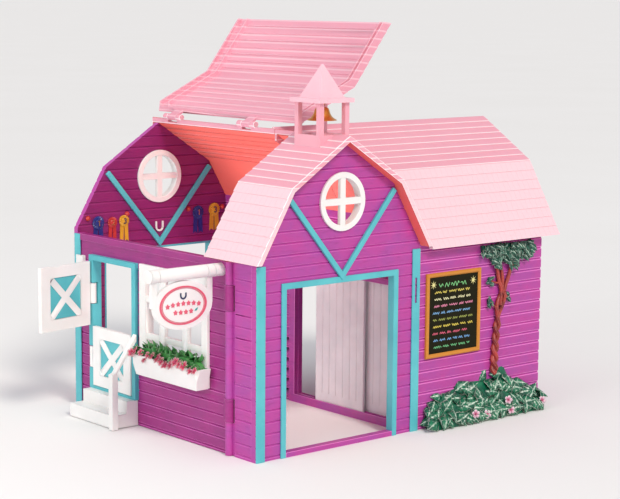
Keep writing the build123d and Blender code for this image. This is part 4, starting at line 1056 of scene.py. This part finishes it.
def pinRosettes():
    v = named(rosetteValues)
    finishes = dict(
        blue=(ribbonBlue, numeralGold), red=(ribbonRed, numeralGold), yellow=(ribbonYellow, numeralNavy))
    for colour, (ribbon, ink) in finishes.items():
        bm = bmesh.new()
        marks = bmesh.new()
        for x, z, radius in rosetteValues[colour]:
            addPleatedRing(bm, x, z, radius, rosetteValues)
            face = v.y - v.thick * 0.8
            addDome(bm, x, face, z, radius * v.button, v.buttonProud)
            low = z - radius - v.tailLong
            for lean in (-1, 1):
                tail = ((x + lean * 0.2, z), (x + lean * 0.72 * radius, z), (x + lean * 0.86 * radius, low),
                        (x + lean * 0.5 * radius, low + 0.32 * radius), (x + lean * 0.14 * radius, low))
                addPlate(bm, tail[::lean], v.y - 0.6 - 0.1 * lean, v.y)
            size = 2 * radius * v.button * 0.72
            line = [(x + u * size, z + w * size) for u, w in numerals[colour]]
            addStroke(marks, line, v.numeralWide, face - v.buttonProud - 0.15, face - 0.2)
        addPiece(f"rosette_{colour}", bm, ribbon, "barn", f"rosette_{colour}", f"rosettes_{colour}")
        addPiece(f"rosette_{colour}_numerals", marks, ink, "barn", "gold_paint")


pinRosettes()
print("rosettes pinned")

braceValues = dict(wide=3.6, proud=2, top=(45.2, 166), foot=112.2, footLift=0.6, front=0, rear=200)
knobValues = dict(
    y=200, radius=1.9, proud=2.2, places=((-61.6, 134.3), (-28.4, 135.2), (26.3, 134.9), (57.7, 134.5)))


def fitBraces():
    v = named(braceValues)
    x, z = v.top
    slope = Vector((x, z - v.foot)).normalized() * v.wide / 2
    foot = v.foot + v.footLift
    rise = slope.length / math.cos(math.atan2(z - foot, x))
    outline = ((0, foot - rise), (x + slope.y, z - slope.x), (x - slope.y, z + slope.x), (0, foot + rise),
               (-x + slope.y, z + slope.x), (-x - slope.y, z - slope.x))
    for name, back in (("front_v_brace", v.front), ("rear_v_brace", v.rear)):
        bm = bmesh.new()
        addPlate(bm, outline, back - v.proud, back)
        brace = addPiece(name + "_slim", bm, tealAbs, "barn", "teal_trim", name)
        bevel = brace.modifiers.new("edge round", "BEVEL")
        bevel.width = mm(edgeValues["radiusMm"])
        bevel.segments = edgeValues["segments"]


def pinKnobs():
    v = named(knobValues)
    bm = bmesh.new()
    for x, z in v.places:
        addDome(bm, x, v.y, z, v.radius, v.proud)
    addPiece("red_knobs", bm, ribbonRed, "barn", "rosette_red", smooth=True)


fitBraces()
pinKnobs()
print("braces and knobs fitted")

bellValues = dict(  # profile: share of the radius, then of the height
    y=20.2, pivot=222, drop=1.9, radius=9.7, high=8.5, skin=0.8, around=48,
    profile=((1, 0), (0.97, 0.05), (0.84, 0.13), (0.7, 0.25), (0.6, 0.42), (0.53, 0.6), (0.49, 0.78),
             (0.42, 0.92), (0.3, 0.98), (0.14, 1)),
    clapper=1.5, clapperUp=1.4, stalk=0.45, eyeWide=1.1, eyeRadius=1.3, eyeHole=0.72, sharpDegrees=38)


def lathe(bm, line, y, around):  # closed turned shape about an upright line; both ends of the line on it
    addLoops(bm, [[(radius * c, y + radius * s, z) for c, s in circle(around if radius > 1e-6 else 1)]
                  for radius, z in line])


def castBell():
    v = named(bellValues)
    top = v.pivot - v.drop
    low = top - v.high
    outside = [(wide * v.radius, low + up * v.high) for wide, up in v.profile]
    inside = [(max(radius - v.skin, 0.4), max(z - v.skin, low + 0.02)) for radius, z in outside[:-1]]
    arc = [math.pi * k / 8 for k in range(9)]
    turned = (
        ([(0, top)] + outside[::-1] + inside + [(0, inside[-1][1])], v.around),
        ([(v.clapper * math.sin(a), low + v.clapperUp - v.clapper * math.cos(a)) for a in arc], 16),
        ([(0, low + 1.5), (v.stalk, low + 1.5), (v.stalk, top - 0.4), (0, top - 0.4)], 12),
        ([(0, top - 0.3), (1.2, top - 0.3), (0.9, v.pivot - 0.9), (0, v.pivot - 0.9)], 16))
    bm = bmesh.new()
    for line, around in turned:
        lathe(bm, line, v.y, around)
    eye = ((v.eyeRadius, -1), (v.eyeHole, -1), (v.eyeHole, 1), (v.eyeRadius, 1))
    addLoops(bm, [[(side * v.eyeWide, v.y + reach * c, v.pivot + reach * s) for c, s in circle(24)]
                  for reach, side in eye], closed=True)
    bell = addPiece("bell_casting", bm, goldPaint, "bell", "gold_paint", "bell", smooth=True)
    bell.data.set_sharp_from_angle(angle=math.radians(v.sharpDegrees))


castBell()
print("bell cast")

bpy.data.objects.remove(ivyLeaf)
